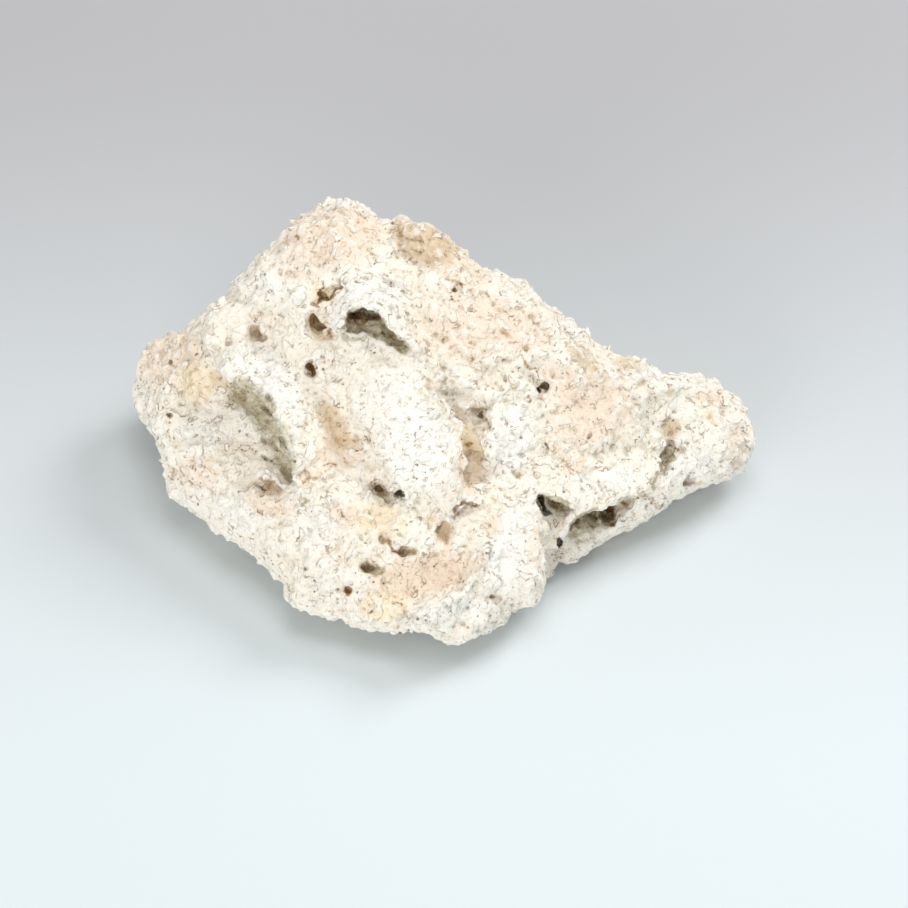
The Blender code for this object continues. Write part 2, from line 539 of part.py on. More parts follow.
def crust(rock, cell, depth, seed):
    """Covers the surface with rounded knobs, cell apart, that meet in creases, most of all behind."""
    mesh = rock.data
    points, normals = points_of(mesh), normals_of(mesh)
    knobs = 2.0 * np.abs(noise_at(points, cell, seed, 2)) - 0.5
    strength = depth * (1.0 + CRUST_BEHIND * smooth_step(0.3, -0.3, normals[:, 2]))
    set_points(mesh, points + normals * (strength * knobs)[:, None])


def lumpy_ball(centre, axes, seed):
    """A closed ball drawn out along three axes, with an uneven skin."""
    bm = bmesh.new()
    bmesh.ops.create_icosphere(bm, subdivisions=2, radius=1.0)
    spread = Matrix(axes).transposed()
    for v in bm.verts:
        uneven = 1.0 + BALL_CROOK * noise.fractal(v.co * BALL_LUMPS + seed * NOISE_SHIFT, 1.0, 2.0, 2)
        v.co = Vector(centre) + spread @ (v.co * uneven)
    return bm


def along_path(path, step):
    """Nodes about a step apart along a path, each with how far along it stands, 0 to 1."""
    nodes = [Vector(p) for p in path]
    if len(nodes) == 1:
        return [(nodes[0], 0.5)]
    lengths = [(b - a).xy.length for a, b in zip(nodes[:-1], nodes[1:])]
    places = []
    for a, b, length, start in zip(nodes[:-1], nodes[1:], lengths, np.cumsum([0.0] + lengths)):
        count = math.ceil(length / step)
        shares = [i / count for i in range(count)]
        places += [(a.lerp(b, t), (start + t * length) / sum(lengths)) for t in shares]
    return places + [(nodes[-1], 1.0)]


def cavity_balls(rock, cavity, seed):
    """The cutters of a hollow, their middles a little under the face so that its lips overhang."""
    inward = Vector((*cavity.lean, -1)).normalized()
    balls = []
    for i, (place, along) in enumerate(along_path(cavity.path, BALL_STEP)):
        across, up, width = place
        from_middle = abs(2.0 * along - 1.0)
        deep = inward * cavity.depth * (1.0 - (1.0 - END_DEPTH) * from_middle**2)
        centre = Vector((across, up, face_height(rock, across, up))) + deep * BALL_SINK
        axes = (Vector((width / 2, 0, 0)), Vector((0, width / 2, 0)), -deep)
        balls.append(lumpy_ball(centre, axes, BALLS_APART * seed + i))
    return balls


def cut(rock, balls):
    """Cuts the balls out of the rock, all at once."""
    merged = bmesh.new()
    for ball in balls:
        part = bpy.data.meshes.new("cutter")
        ball.to_mesh(part)
        merged.from_mesh(part)
        ball.free()
        bpy.data.meshes.remove(part)
    mesh = bpy.data.meshes.new("cutter")
    merged.to_mesh(mesh)
    merged.free()
    tool = add_object("cutter", mesh)
    tool.hide_render = True
    tool.display_type = "WIRE"
    remesh(tool, CUTTER_GRAIN)
    take = rock.modifiers.new("hollows", "BOOLEAN")
    take.operation = "DIFFERENCE"
    take.object = tool
    baked(rock)
    bpy.data.objects.remove(tool)


def face_height(rock, across, up):
    """Where a line straight into the face meets it."""
    hit, place, _, _ = rock.ray_cast(Vector((across, up, 200)), Vector((0, 0, -1)))
    return place.z if hit else 0.0


def hollow_balls(rock, side):
    """The cutters of every hollow of a side."""
    with turned(rock, side.turn):
        bpy.context.view_layer.update()
        balls = [b for i, cavity in enumerate(side.cavities) for b in cavity_balls(rock, cavity, i)]
    for ball in balls:
        ball.transform(Matrix.Rotation(math.radians(-side.turn), 4, "X"))
    return balls


def pit_balls(rock):
    """The cutters of seeded pits, scattered where the surface faces away from the carved face."""
    rng = np.random.default_rng(PIT_SEED)
    points, normals = points_of(rock.data), normals_of(rock.data)
    away = np.flatnonzero(normals[:, 2] < PIT_FACING)
    balls = []
    for i, index in enumerate(rng.choice(away, PIT_COUNT, replace=False)):
        radius = rng.uniform(*PIT_RADII)
        inward = -Vector(normals[index])
        across = inward.orthogonal().normalized() * radius
        over = inward.cross(across).normalized() * radius * rng.uniform(*PIT_OVALS)
        centre = Vector(points[index]) + inward * radius * BALL_SINK
        balls.append(lumpy_ball(centre, (across, over, -inward * radius), PIT_SEED + i))
    return balls


def keep_largest(rock):
    """Drops what the cutting leaves loose: chips outside and closed bubbles inside."""
    bm = bmesh.new()
    bm.from_mesh(rock.data)
    waiting = set(bm.verts)
    pieces = []
    while waiting:
        front = [waiting.pop()]
        piece = []
        while front:
            vert = front.pop()
            piece.append(vert)
            near = {edge.other_vert(vert) for edge in vert.link_edges} & waiting
            waiting -= near
            front.extend(near)
        pieces.append(piece)
    pieces.sort(key=len)
    bmesh.ops.delete(bm, geom=[v for piece in pieces[:-1] for v in piece], context="VERTS")
    bm.to_mesh(rock.data)
    bm.free()


def dish_foot(rock):
    """Dishes the underside, each dish fading out at its radius."""
    points, normals = points_of(rock.data), normals_of(rock.data)
    for centre, radius, sink in DISHES:
        distance = np.linalg.norm(points - np.array(centre, float), axis=1) / radius
        depth = sink * np.clip(1.0 - distance**2, 0.0, 1.0)
        points -= normals * depth[:, None]
    set_points(rock.data, points)


def level_foot(rock):
    """Tips the rock onto its foot and cuts the foot level."""
    tip = Matrix.Rotation(math.radians(90.0 - FACE_SLOPE), 4, "X")
    rock.data.transform(tip)
    bm = bmesh.new()
    bm.from_mesh(rock.data)
    sliced = bmesh.ops.bisect_plane(
        bm,
        geom=bm.verts[:] + bm.edges[:] + bm.faces[:],
        dist=MERGE_DISTANCE,
        plane_co=(0, 0, -FOOT_DEPTH),
        plane_no=(0, 0, 1),
        clear_inner=True,
    )
    rim = [e for e in sliced["geom_cut"] if isinstance(e, bmesh.types.BMEdge)]
    bmesh.ops.holes_fill(bm, edges=rim, sides=0)
    bmesh.ops.triangulate(bm, faces=bm.faces)
    bmesh.ops.recalc_face_normals(bm, faces=bm.faces)
    bm.to_mesh(rock.data)
    bm.free()


def set_origin(rock):
    """Puts the origin at the bottom centre of the rock's box and brings the rock to metres."""
    points = points_of(rock.data)
    low, high = points.min(axis=0), points.max(axis=0)
    middle = (low + high) / 2
    points -= (middle[0], middle[1], -FOOT_DEPTH)
    set_points(rock.data, points * MM)


def thin_out(rock):
    """Brings the triangles down, keeping the most on the carved face and where the surface bends."""
    facing = smooth_step(*FACE_FADE, normals_of(rock.data)[:, 2])
    group = rock.vertex_groups.new(name="plain")
    for i, weight in enumerate(facing.tolist()):
        group.add([i], 1.0 - FACE_KEPT * weight, "REPLACE")
    thin = rock.modifiers.new("thin out", "DECIMATE")
    thin.vertex_group = group.name
    thin.use_collapse_triangulate = True
    thin.ratio = MOST_TRIANGLES / (2 * len(rock.data.polygons))
    baked(rock)
    rock.vertex_groups.clear()


def limestone():
    """Pale, dry limestone."""
    made = bpy.data.materials.new("limestone")
    made.use_nodes = True
    surface = made.node_tree.nodes["Principled BSDF"]
    surface.inputs["Base Color"].default_value = LIMESTONE_COLOUR
    surface.inputs["Roughness"].default_value = LIMESTONE_ROUGHNESS
    surface.inputs["Metallic"].default_value = 0.0
    return made


def main():
    for obj in list(bpy.data.objects):
        bpy.data.objects.remove(obj)
    rock = relax(remesh(block(), ROUGH_GRAIN), BLOCK_SOFTENING)
    swell_all(rock, *SWELLING)
    for side in (FACE, BACK):
        raise_forms(rock, side)
    dish_foot(rock)
    rock = relax(remesh(rock, ROUGH_GRAIN), 1)
    for side in (FACE, BACK):
        undercut_ledges(rock, side)
    crust(rock, *KNOBS)
    rock = remesh(rock, FINE_GRAIN)
    crust(rock, *CRUMBS)
    rock = remesh(rock, FINE_GRAIN)
    cut(rock, hollow_balls(rock, FACE) + hollow_balls(rock, BACK) + pit_balls(rock))
    rock = relax(remesh(rock, FINE_GRAIN), 1)
    keep_largest(rock)
    thin_out(rock)
    level_foot(rock)
    keep_largest(rock)
    set_origin(rock)
    rock.data.materials.clear()
    rock.data.materials.append(limestone())
    rock.data.shade_smooth()


main()
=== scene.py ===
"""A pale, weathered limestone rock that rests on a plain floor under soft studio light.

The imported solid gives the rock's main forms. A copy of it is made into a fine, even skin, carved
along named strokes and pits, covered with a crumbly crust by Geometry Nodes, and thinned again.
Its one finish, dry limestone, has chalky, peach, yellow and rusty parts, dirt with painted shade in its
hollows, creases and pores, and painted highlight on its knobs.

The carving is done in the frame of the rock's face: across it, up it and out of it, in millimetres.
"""

import logging
import math
from dataclasses import dataclass, field
from enum import Enum

import bmesh
import bpy
import numpy as np
from mathutils import Matrix, Vector, noise
from mathutils.bvhtree import BVHTree


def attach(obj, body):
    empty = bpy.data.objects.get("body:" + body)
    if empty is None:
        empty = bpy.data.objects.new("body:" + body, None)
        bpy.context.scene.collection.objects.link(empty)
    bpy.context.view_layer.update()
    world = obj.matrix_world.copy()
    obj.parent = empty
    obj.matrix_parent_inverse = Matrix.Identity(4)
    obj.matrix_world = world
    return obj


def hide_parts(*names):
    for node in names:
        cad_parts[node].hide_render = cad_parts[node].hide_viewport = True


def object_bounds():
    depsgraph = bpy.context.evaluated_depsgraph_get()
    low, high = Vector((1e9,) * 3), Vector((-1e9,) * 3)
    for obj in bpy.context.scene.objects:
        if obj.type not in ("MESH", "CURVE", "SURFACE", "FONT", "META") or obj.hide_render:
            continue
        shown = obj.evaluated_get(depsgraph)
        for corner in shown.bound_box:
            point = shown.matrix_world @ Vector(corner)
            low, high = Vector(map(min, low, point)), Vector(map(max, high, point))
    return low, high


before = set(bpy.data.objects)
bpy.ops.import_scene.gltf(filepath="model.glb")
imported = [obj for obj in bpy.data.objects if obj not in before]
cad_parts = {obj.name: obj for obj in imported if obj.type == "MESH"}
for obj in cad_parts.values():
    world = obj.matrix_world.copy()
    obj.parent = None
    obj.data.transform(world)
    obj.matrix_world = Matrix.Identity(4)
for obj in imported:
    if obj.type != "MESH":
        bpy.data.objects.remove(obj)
CAD_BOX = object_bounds()

log = logging.getLogger("limestone_rock")

MM = 0.001
NODE_NAME = "limestone_rock"
PIECE_NAME = "weathered_limestone"

# How far out of the face's middle the tools that cut its hollows reach, in millimetres.
CUTTER_REACH = 60.0

Array = np.ndarray
Path = tuple[tuple[float, float], ...]


# ---------------------------------------------------------------- numbers over a surface


def smooth_step(low: float, high: float, values: Array) -> Array:
    """A smooth ramp over an array.

    Args:
        low: The value at which the ramp is 0.
        high: The value at which it is 1; it may be the smaller of the two.
        values: The values to look up.

    Returns:
        The ramp at each value.
    """
    t = np.clip((values - low) / (high - low), 0.0, 1.0)
    return t * t * (3.0 - 2.0 * t)


def noise_at(points: Array, cell: float, seed: int, octaves: int = 2) -> Array:
    """Fractal noise at each point.

    Args:
        points: Rows of places.
        cell: How wide its lumps are.
        seed: Which of the noises this is.
        octaves: How many finer noises are laid over the first.

    Returns:
        A number for each point, about -1 to 1.
    """
    shift = Vector((seed * 17.3, seed * -9.1, seed * 5.7))
    found = [noise.fractal(Vector(p) / cell + shift, 1.0, 2.0, octaves) for p in points.tolist()]
    return np.array(found)


def oval_distance(plan: Array, across: float, up: float, half: tuple[float, float], turn: float) -> Array:
    """How far each place is from the middle of an oval, where its edge is at 1.

    Args:
        plan: Rows of places in the plane of the face.
        across: The oval's middle, across the face.
        up: The oval's middle, up the face.
        half: Its half length and half width.
        turn: How far its length is turned from across, in degrees.

    Returns:
        The distance of each place.
    """
    c, s = math.cos(math.radians(turn)), math.sin(math.radians(turn))
    x, y = plan[:, 0] - across, plan[:, 1] - up
    return np.hypot((x * c + y * s) / half[0], (y * c - x * s) / half[1])


def within(plan: Array, corners: Array, margin: float) -> Array:
    """The indices of the places that lie in the box round some corners, with a margin."""
    low, high = corners.min(axis=0) - margin, corners.max(axis=0) + margin
    return np.flatnonzero(((plan > low) & (plan < high)).all(axis=1))


def inside(plan: Array, outline: Path) -> Array:
    """Which places lie inside a closed outline.

    Args:
        plan: Rows of places in the plane of the face.
        outline: The outline's corners.

    Returns:
        True or False for each place.
    """
    nodes = np.array(outline, float)
    found = np.zeros(len(plan), bool)
    for (ax, ay), (bx, by) in zip(nodes, np.roll(nodes, -1, axis=0)):
        if ay != by:
            crossing = ax + (plan[:, 1] - ay) * (bx - ax) / (by - ay)
            found ^= ((ay > plan[:, 1]) != (by > plan[:, 1])) & (plan[:, 0] < crossing)
    return found


def path_distance(plan: Array, path: Path) -> tuple[Array, Array, Array]:
    """Where each place lies beside a path.

    Args:
        plan: Rows of places in the plane of the face.
        path: The path's nodes.

    Returns:
        The distance from the path, the side of it (1 on the left of travel, -1 on the right), and
        how far along the path the nearest place is, 0 to 1.
    """
    nodes = np.array(path, float)
    lengths = np.linalg.norm(np.diff(nodes, axis=0), axis=1)
    starts = np.concatenate([[0.0], np.cumsum(lengths)])
    best = np.full(len(plan), np.inf)
    side = np.zeros(len(plan))
    along = np.zeros(len(plan))
    for a, b, length, start in zip(nodes[:-1], nodes[1:], lengths, starts):
        direction = (b - a) / length
        offset = plan - a
        t = np.clip(offset @ direction, 0.0, length)
        distance = np.linalg.norm(offset - t[:, None] * direction, axis=1)
        nearer = distance < best
        best = np.where(nearer, distance, best)
        turn = direction[0] * offset[:, 1] - direction[1] * offset[:, 0]
        side = np.where(nearer, np.sign(turn), side)
        along = np.where(nearer, (start + t) / starts[-1], along)
    return best, side, along


# ---------------------------------------------------------------- node trees


class Value:
    """A number on its way through a node tree, whose operators add Math nodes."""

    def __init__(self, graph: "Graph", socket: bpy.types.NodeSocket) -> None:
        """Wraps a socket of the graph's tree."""
        self.graph = graph
        self.socket = socket

    def __add__(self, other: "Value | float") -> "Value":
        """The sum."""
        return self.graph.maths("ADD", self, other)

    def __sub__(self, other: "Value | float") -> "Value":
        """The difference."""
        return self.graph.maths("SUBTRACT", self, other)

    def __rsub__(self, other: float) -> "Value":
        """The difference from a plain number."""
        return self.graph.maths("SUBTRACT", other, self)

    def __mul__(self, other: "Value | float") -> "Value":
        """The product."""
        return self.graph.maths("MULTIPLY", self, other)

    def __truediv__(self, other: "Value | float") -> "Value":
        """The quotient."""
        return self.graph.maths("DIVIDE", self, other)

    __radd__ = __add__
    __rmul__ = __mul__


class Graph:
    """A node tree, for a material or for Geometry Nodes, that is built by expressions."""

    def __init__(self, tree: bpy.types.NodeTree) -> None:
        """Starts from an empty tree."""
        self.tree = tree
        tree.nodes.clear()

    def add(self, kind: str, settings: dict | None = None, inputs: dict | None = None) -> bpy.types.Node:
        """Adds a node.

        Args:
            kind: The node's type.
            settings: What is set on the node itself, before its sockets.
            inputs: The values or links of its sockets, by name or by number.

        Returns:
            The node.
        """
        node = self.tree.nodes.new(kind)
        for name, value in (settings or {}).items():
            setattr(node, name, value)
        for key, value in (inputs or {}).items():
            if isinstance(value, Value):
                value = value.socket
            if isinstance(value, bpy.types.NodeSocket):
                self.tree.links.new(value, node.inputs[key])
            else:
                node.inputs[key].default_value = value
        return node

    def maths(self, operation: str, *values: "Value | float") -> Value:
        """A Math node on numbers, and its result."""
        node = self.add("ShaderNodeMath", {"operation": operation}, dict(enumerate(values)))
        return Value(self, node.outputs[0])

    def along(self, operation: str, *values: bpy.types.NodeSocket) -> bpy.types.NodeSocket:
        """A Vector Math node on vectors, and its result."""
        node = self.add("ShaderNodeVectorMath", {"operation": operation}, dict(enumerate(values)))
        return node.outputs[0]

    def scaled(self, vector: bpy.types.NodeSocket, factor: "Value | float") -> bpy.types.NodeSocket:
        """A vector made longer or shorter."""
        settings, inputs = {"operation": "SCALE"}, {0: vector, "Scale": factor}
        return self.add("ShaderNodeVectorMath", settings, inputs).outputs[0]

    def ramp(self, value: Value, low: float, high: float) -> Value:
        """A smooth ramp.

        Args:
            value: The number to look up.
            low: Where the ramp is 0.
            high: Where the ramp is 1.

        Returns:
            The ramp at that number.
        """
        settings = {"interpolation_type": "SMOOTHSTEP"}
        inputs = {"Value": value, "From Min": low, "From Max": high}
        return Value(self, self.add("ShaderNodeMapRange", settings, inputs).outputs[0])

    def noise(
        self, place: bpy.types.NodeSocket, cell: float, detail: float = 3.0, rough: float = 0.55
    ) -> Value:
        """Noise whose lumps are as wide as cell, about 0 to 1."""
        inputs = {"Vector": place, "Scale": 1.0 / cell, "Detail": detail, "Roughness": rough}
        return Value(self, self.add("ShaderNodeTexNoise", None, inputs).outputs["Fac"])

    def warped(self, place: bpy.types.NodeSocket, cell: float, reach: float) -> bpy.types.NodeSocket:
        """A place moved by noise, so that what is drawn there wanders.

        Args:
            place: The place.
            cell: How wide the noise's lumps are.
            reach: How far the place is moved at the most.

        Returns:
            The moved place.
        """
        inputs = {"Vector": place, "Scale": 1.0 / cell, "Detail": 2.0}
        colour = self.add("ShaderNodeTexNoise", None, inputs).outputs["Color"]
        centred = self.along("SUBTRACT", colour, (0.5, 0.5, 0.5))
        return self.along("ADD", place, self.scaled(centred, 2.0 * reach))

    def cells(self, place: bpy.types.NodeSocket, cell: float, feature: str = "F1") -> bpy.types.Node:
        """A Voronoi node whose cells are as wide as cell."""
        inputs = {"Vector": place, "Scale": 1.0 / cell}
        return self.add("ShaderNodeTexVoronoi", {"feature": feature}, inputs)

    def blend(self, share: Value, first: object, second: object) -> bpy.types.NodeSocket:
        """Two colours mixed."""
        settings = {"data_type": "RGBA", "clamp_factor": True}
        return self.add("ShaderNodeMix", settings, {0: share, 6: first, 7: second}).outputs[2]

    def attribute(self, name: str) -> Value:
        """A number kept on the surface, in a material."""
        return Value(self, self.add("ShaderNodeAttribute", {"attribute_name": name}).outputs["Fac"])

    def kept(self, name: str) -> Value:
        """A number kept on the surface, in Geometry Nodes."""
        node = self.add("GeometryNodeInputNamedAttribute", {"data_type": "FLOAT"}, {"Name": name})
        return Value(self, node.outputs[0])


# ---------------------------------------------------------------- what is carved on the face


class Cut(Enum):
    """How a stroke shapes the face."""

    LIP = "a step that is high on the left of travel and drawn out over its foot"
    RIDGE = "a narrow ridge"
    GROOVE = "a narrow groove"


class Stain(Enum):
    """What tints the stone, in the order in which it is laid on; olive and brown are partly painted shade,
    and black is painted shade in the deepest holes.
    """

    PEACH = "peach"
    YELLOW = "yellow"
    TAN = "tan"
    CHALK = "chalk"
    OLIVE = "olive"
    RUST = "rust"
    BROWN = "brown"
    BLACK = "black"


@dataclass(frozen=True)
class Stroke:
    """A stroke along a path: how wide and how high or deep it is, and what stains its low side, which on a
    lip is partly painted shade at its foot.
    """

    name: str
    cut: Cut
    path: Path
    width: float
    height: float
    stain: Stain | None = None
    strength: float = 1.0


@dataclass(frozen=True)
class Pit:
    """An oval pit in the face, or a boss where its depth is negative, and what stains it, partly painted
    shade in the deeper pits.
    """

    name: str
    across: float
    up: float
    half: tuple[float, float]
    turn: float
    depth: float
    stain: Stain | None = None
    strength: float = 1.0


@dataclass(frozen=True)
class Hollow:
    """A hollow cut straight into the face: its outline, how deep it is at its top and at its foot,
    how far its floor runs in under its top, and what stains it, with painted shade under its top."""

    name: str
    outline: Path
    depth: float
    foot: float
    under: float
    stain: Stain
    strength: float = 1.0


@dataclass(frozen=True)
class Patch:
    """An oval patch of a stain on the face; olive and brown patches in hollows are partly painted shade."""

    stain: Stain
    across: float
    up: float
    half: tuple[float, float]
    turn: float = 0.0
    strength: float = 1.0


LIP, RIDGE, GROOVE = Cut
PEACH, YELLOW, TAN, CHALK, OLIVE, RUST, BROWN, BLACK = Stain

HOLLOWS = (
    Hollow("mouth of the arch", ((-21.5, 25.2), (-21.2, 26.6), (-20.8, 28.1), (-19, 28.5), (-17, 28.3),
           (-15, 27.8), (-13.6, 26.8), (-13.1, 25), (-12.5, 24.2), (-10.2, 22.8), (-8.4, 21.2),
           (-8.2, 20.2), (-9.8, 19.2), (-12, 20.9), (-13.6, 22), (-15.6, 23), (-17.2, 24.1),
           (-18.2, 24.5), (-19.4, 23.7), (-20.6, 24)), 5.0, 0.8, 0.8, OLIVE, 0.9),
    Hollow("hollow under the brow", ((22.5, -15.4), (22.7, -13.8), (24.4, -12.4), (26.4, -11.1),
           (28.4, -10.2), (28.9, -11.4), (28.4, -12.6), (28.3, -13.6), (27, -15.4), (25.4, -16.2),
           (24, -16.6), (23, -16.4)), 2.8, 0.8, 0.5, OLIVE, 0.9),
    Hollow("pocket right of it", ((29.2, -12), (30.4, -12.1), (30.9, -11.4), (30.7, -10.3), (31.8, -10),
           (32.2, -11.6), (32.8, -13.4), (32.2, -14.4), (30.4, -14.4), (29.6, -13.4)), 2.6, 1.4, 0.6,
           BROWN, 0.9),
    Hollow("shallow end of the hollow", ((32.4, -9.2), (34, -8.2), (36, -8.2), (37.4, -7.2), (38.2, -7.6),
           (36.4, -9.4), (34.8, -11), (33.2, -11.6), (32.5, -10.4)), 1.5, 0.6, 0.4, OLIVE, 0.8),
    # Painted shade: black in the deep slot.
    Hollow("black slot", ((16.2, -8.2), (16.4, -9.6), (17, -10.9), (17.6, -11.9), (18.2, -12.5), (19.3, -12),
           (18.8, -11.3), (18.1, -10.2), (17.7, -9.2), (17.5, -8.2)), 4.5, 3.8, 0.4, BLACK, 1.0),
    Hollow("recess beside the slot", ((18, -8.5), (20, -8.2), (21.6, -8.9), (23.4, -9.8), (22.8, -10.9),
           (21.6, -12), (20.6, -12.1), (19.2, -11), (18.4, -10)), 2.8, 0.8, 0.5, OLIVE, 0.9),
    Hollow("mouth of the basin", ((-18.6, -22), (-17.4, -21.8), (-16.2, -22.5), (-14.6, -22.2),
           (-13.4, -22.9), (-13.8, -23.8), (-15.6, -24), (-17, -23.4), (-18.4, -23)), 2.2, 0.7, 0.4,
           OLIVE, 0.9),
    Hollow("recess at the tongue", ((-15.9, -6.9), (-15, -6.4), (-14, -7), (-12.8, -7.2), (-12.4, -8.2),
           (-13.2, -8.9), (-14.4, -8.6), (-15.4, -7.8)), 1.4, 0.5, 0.4, OLIVE, 0.9),
)

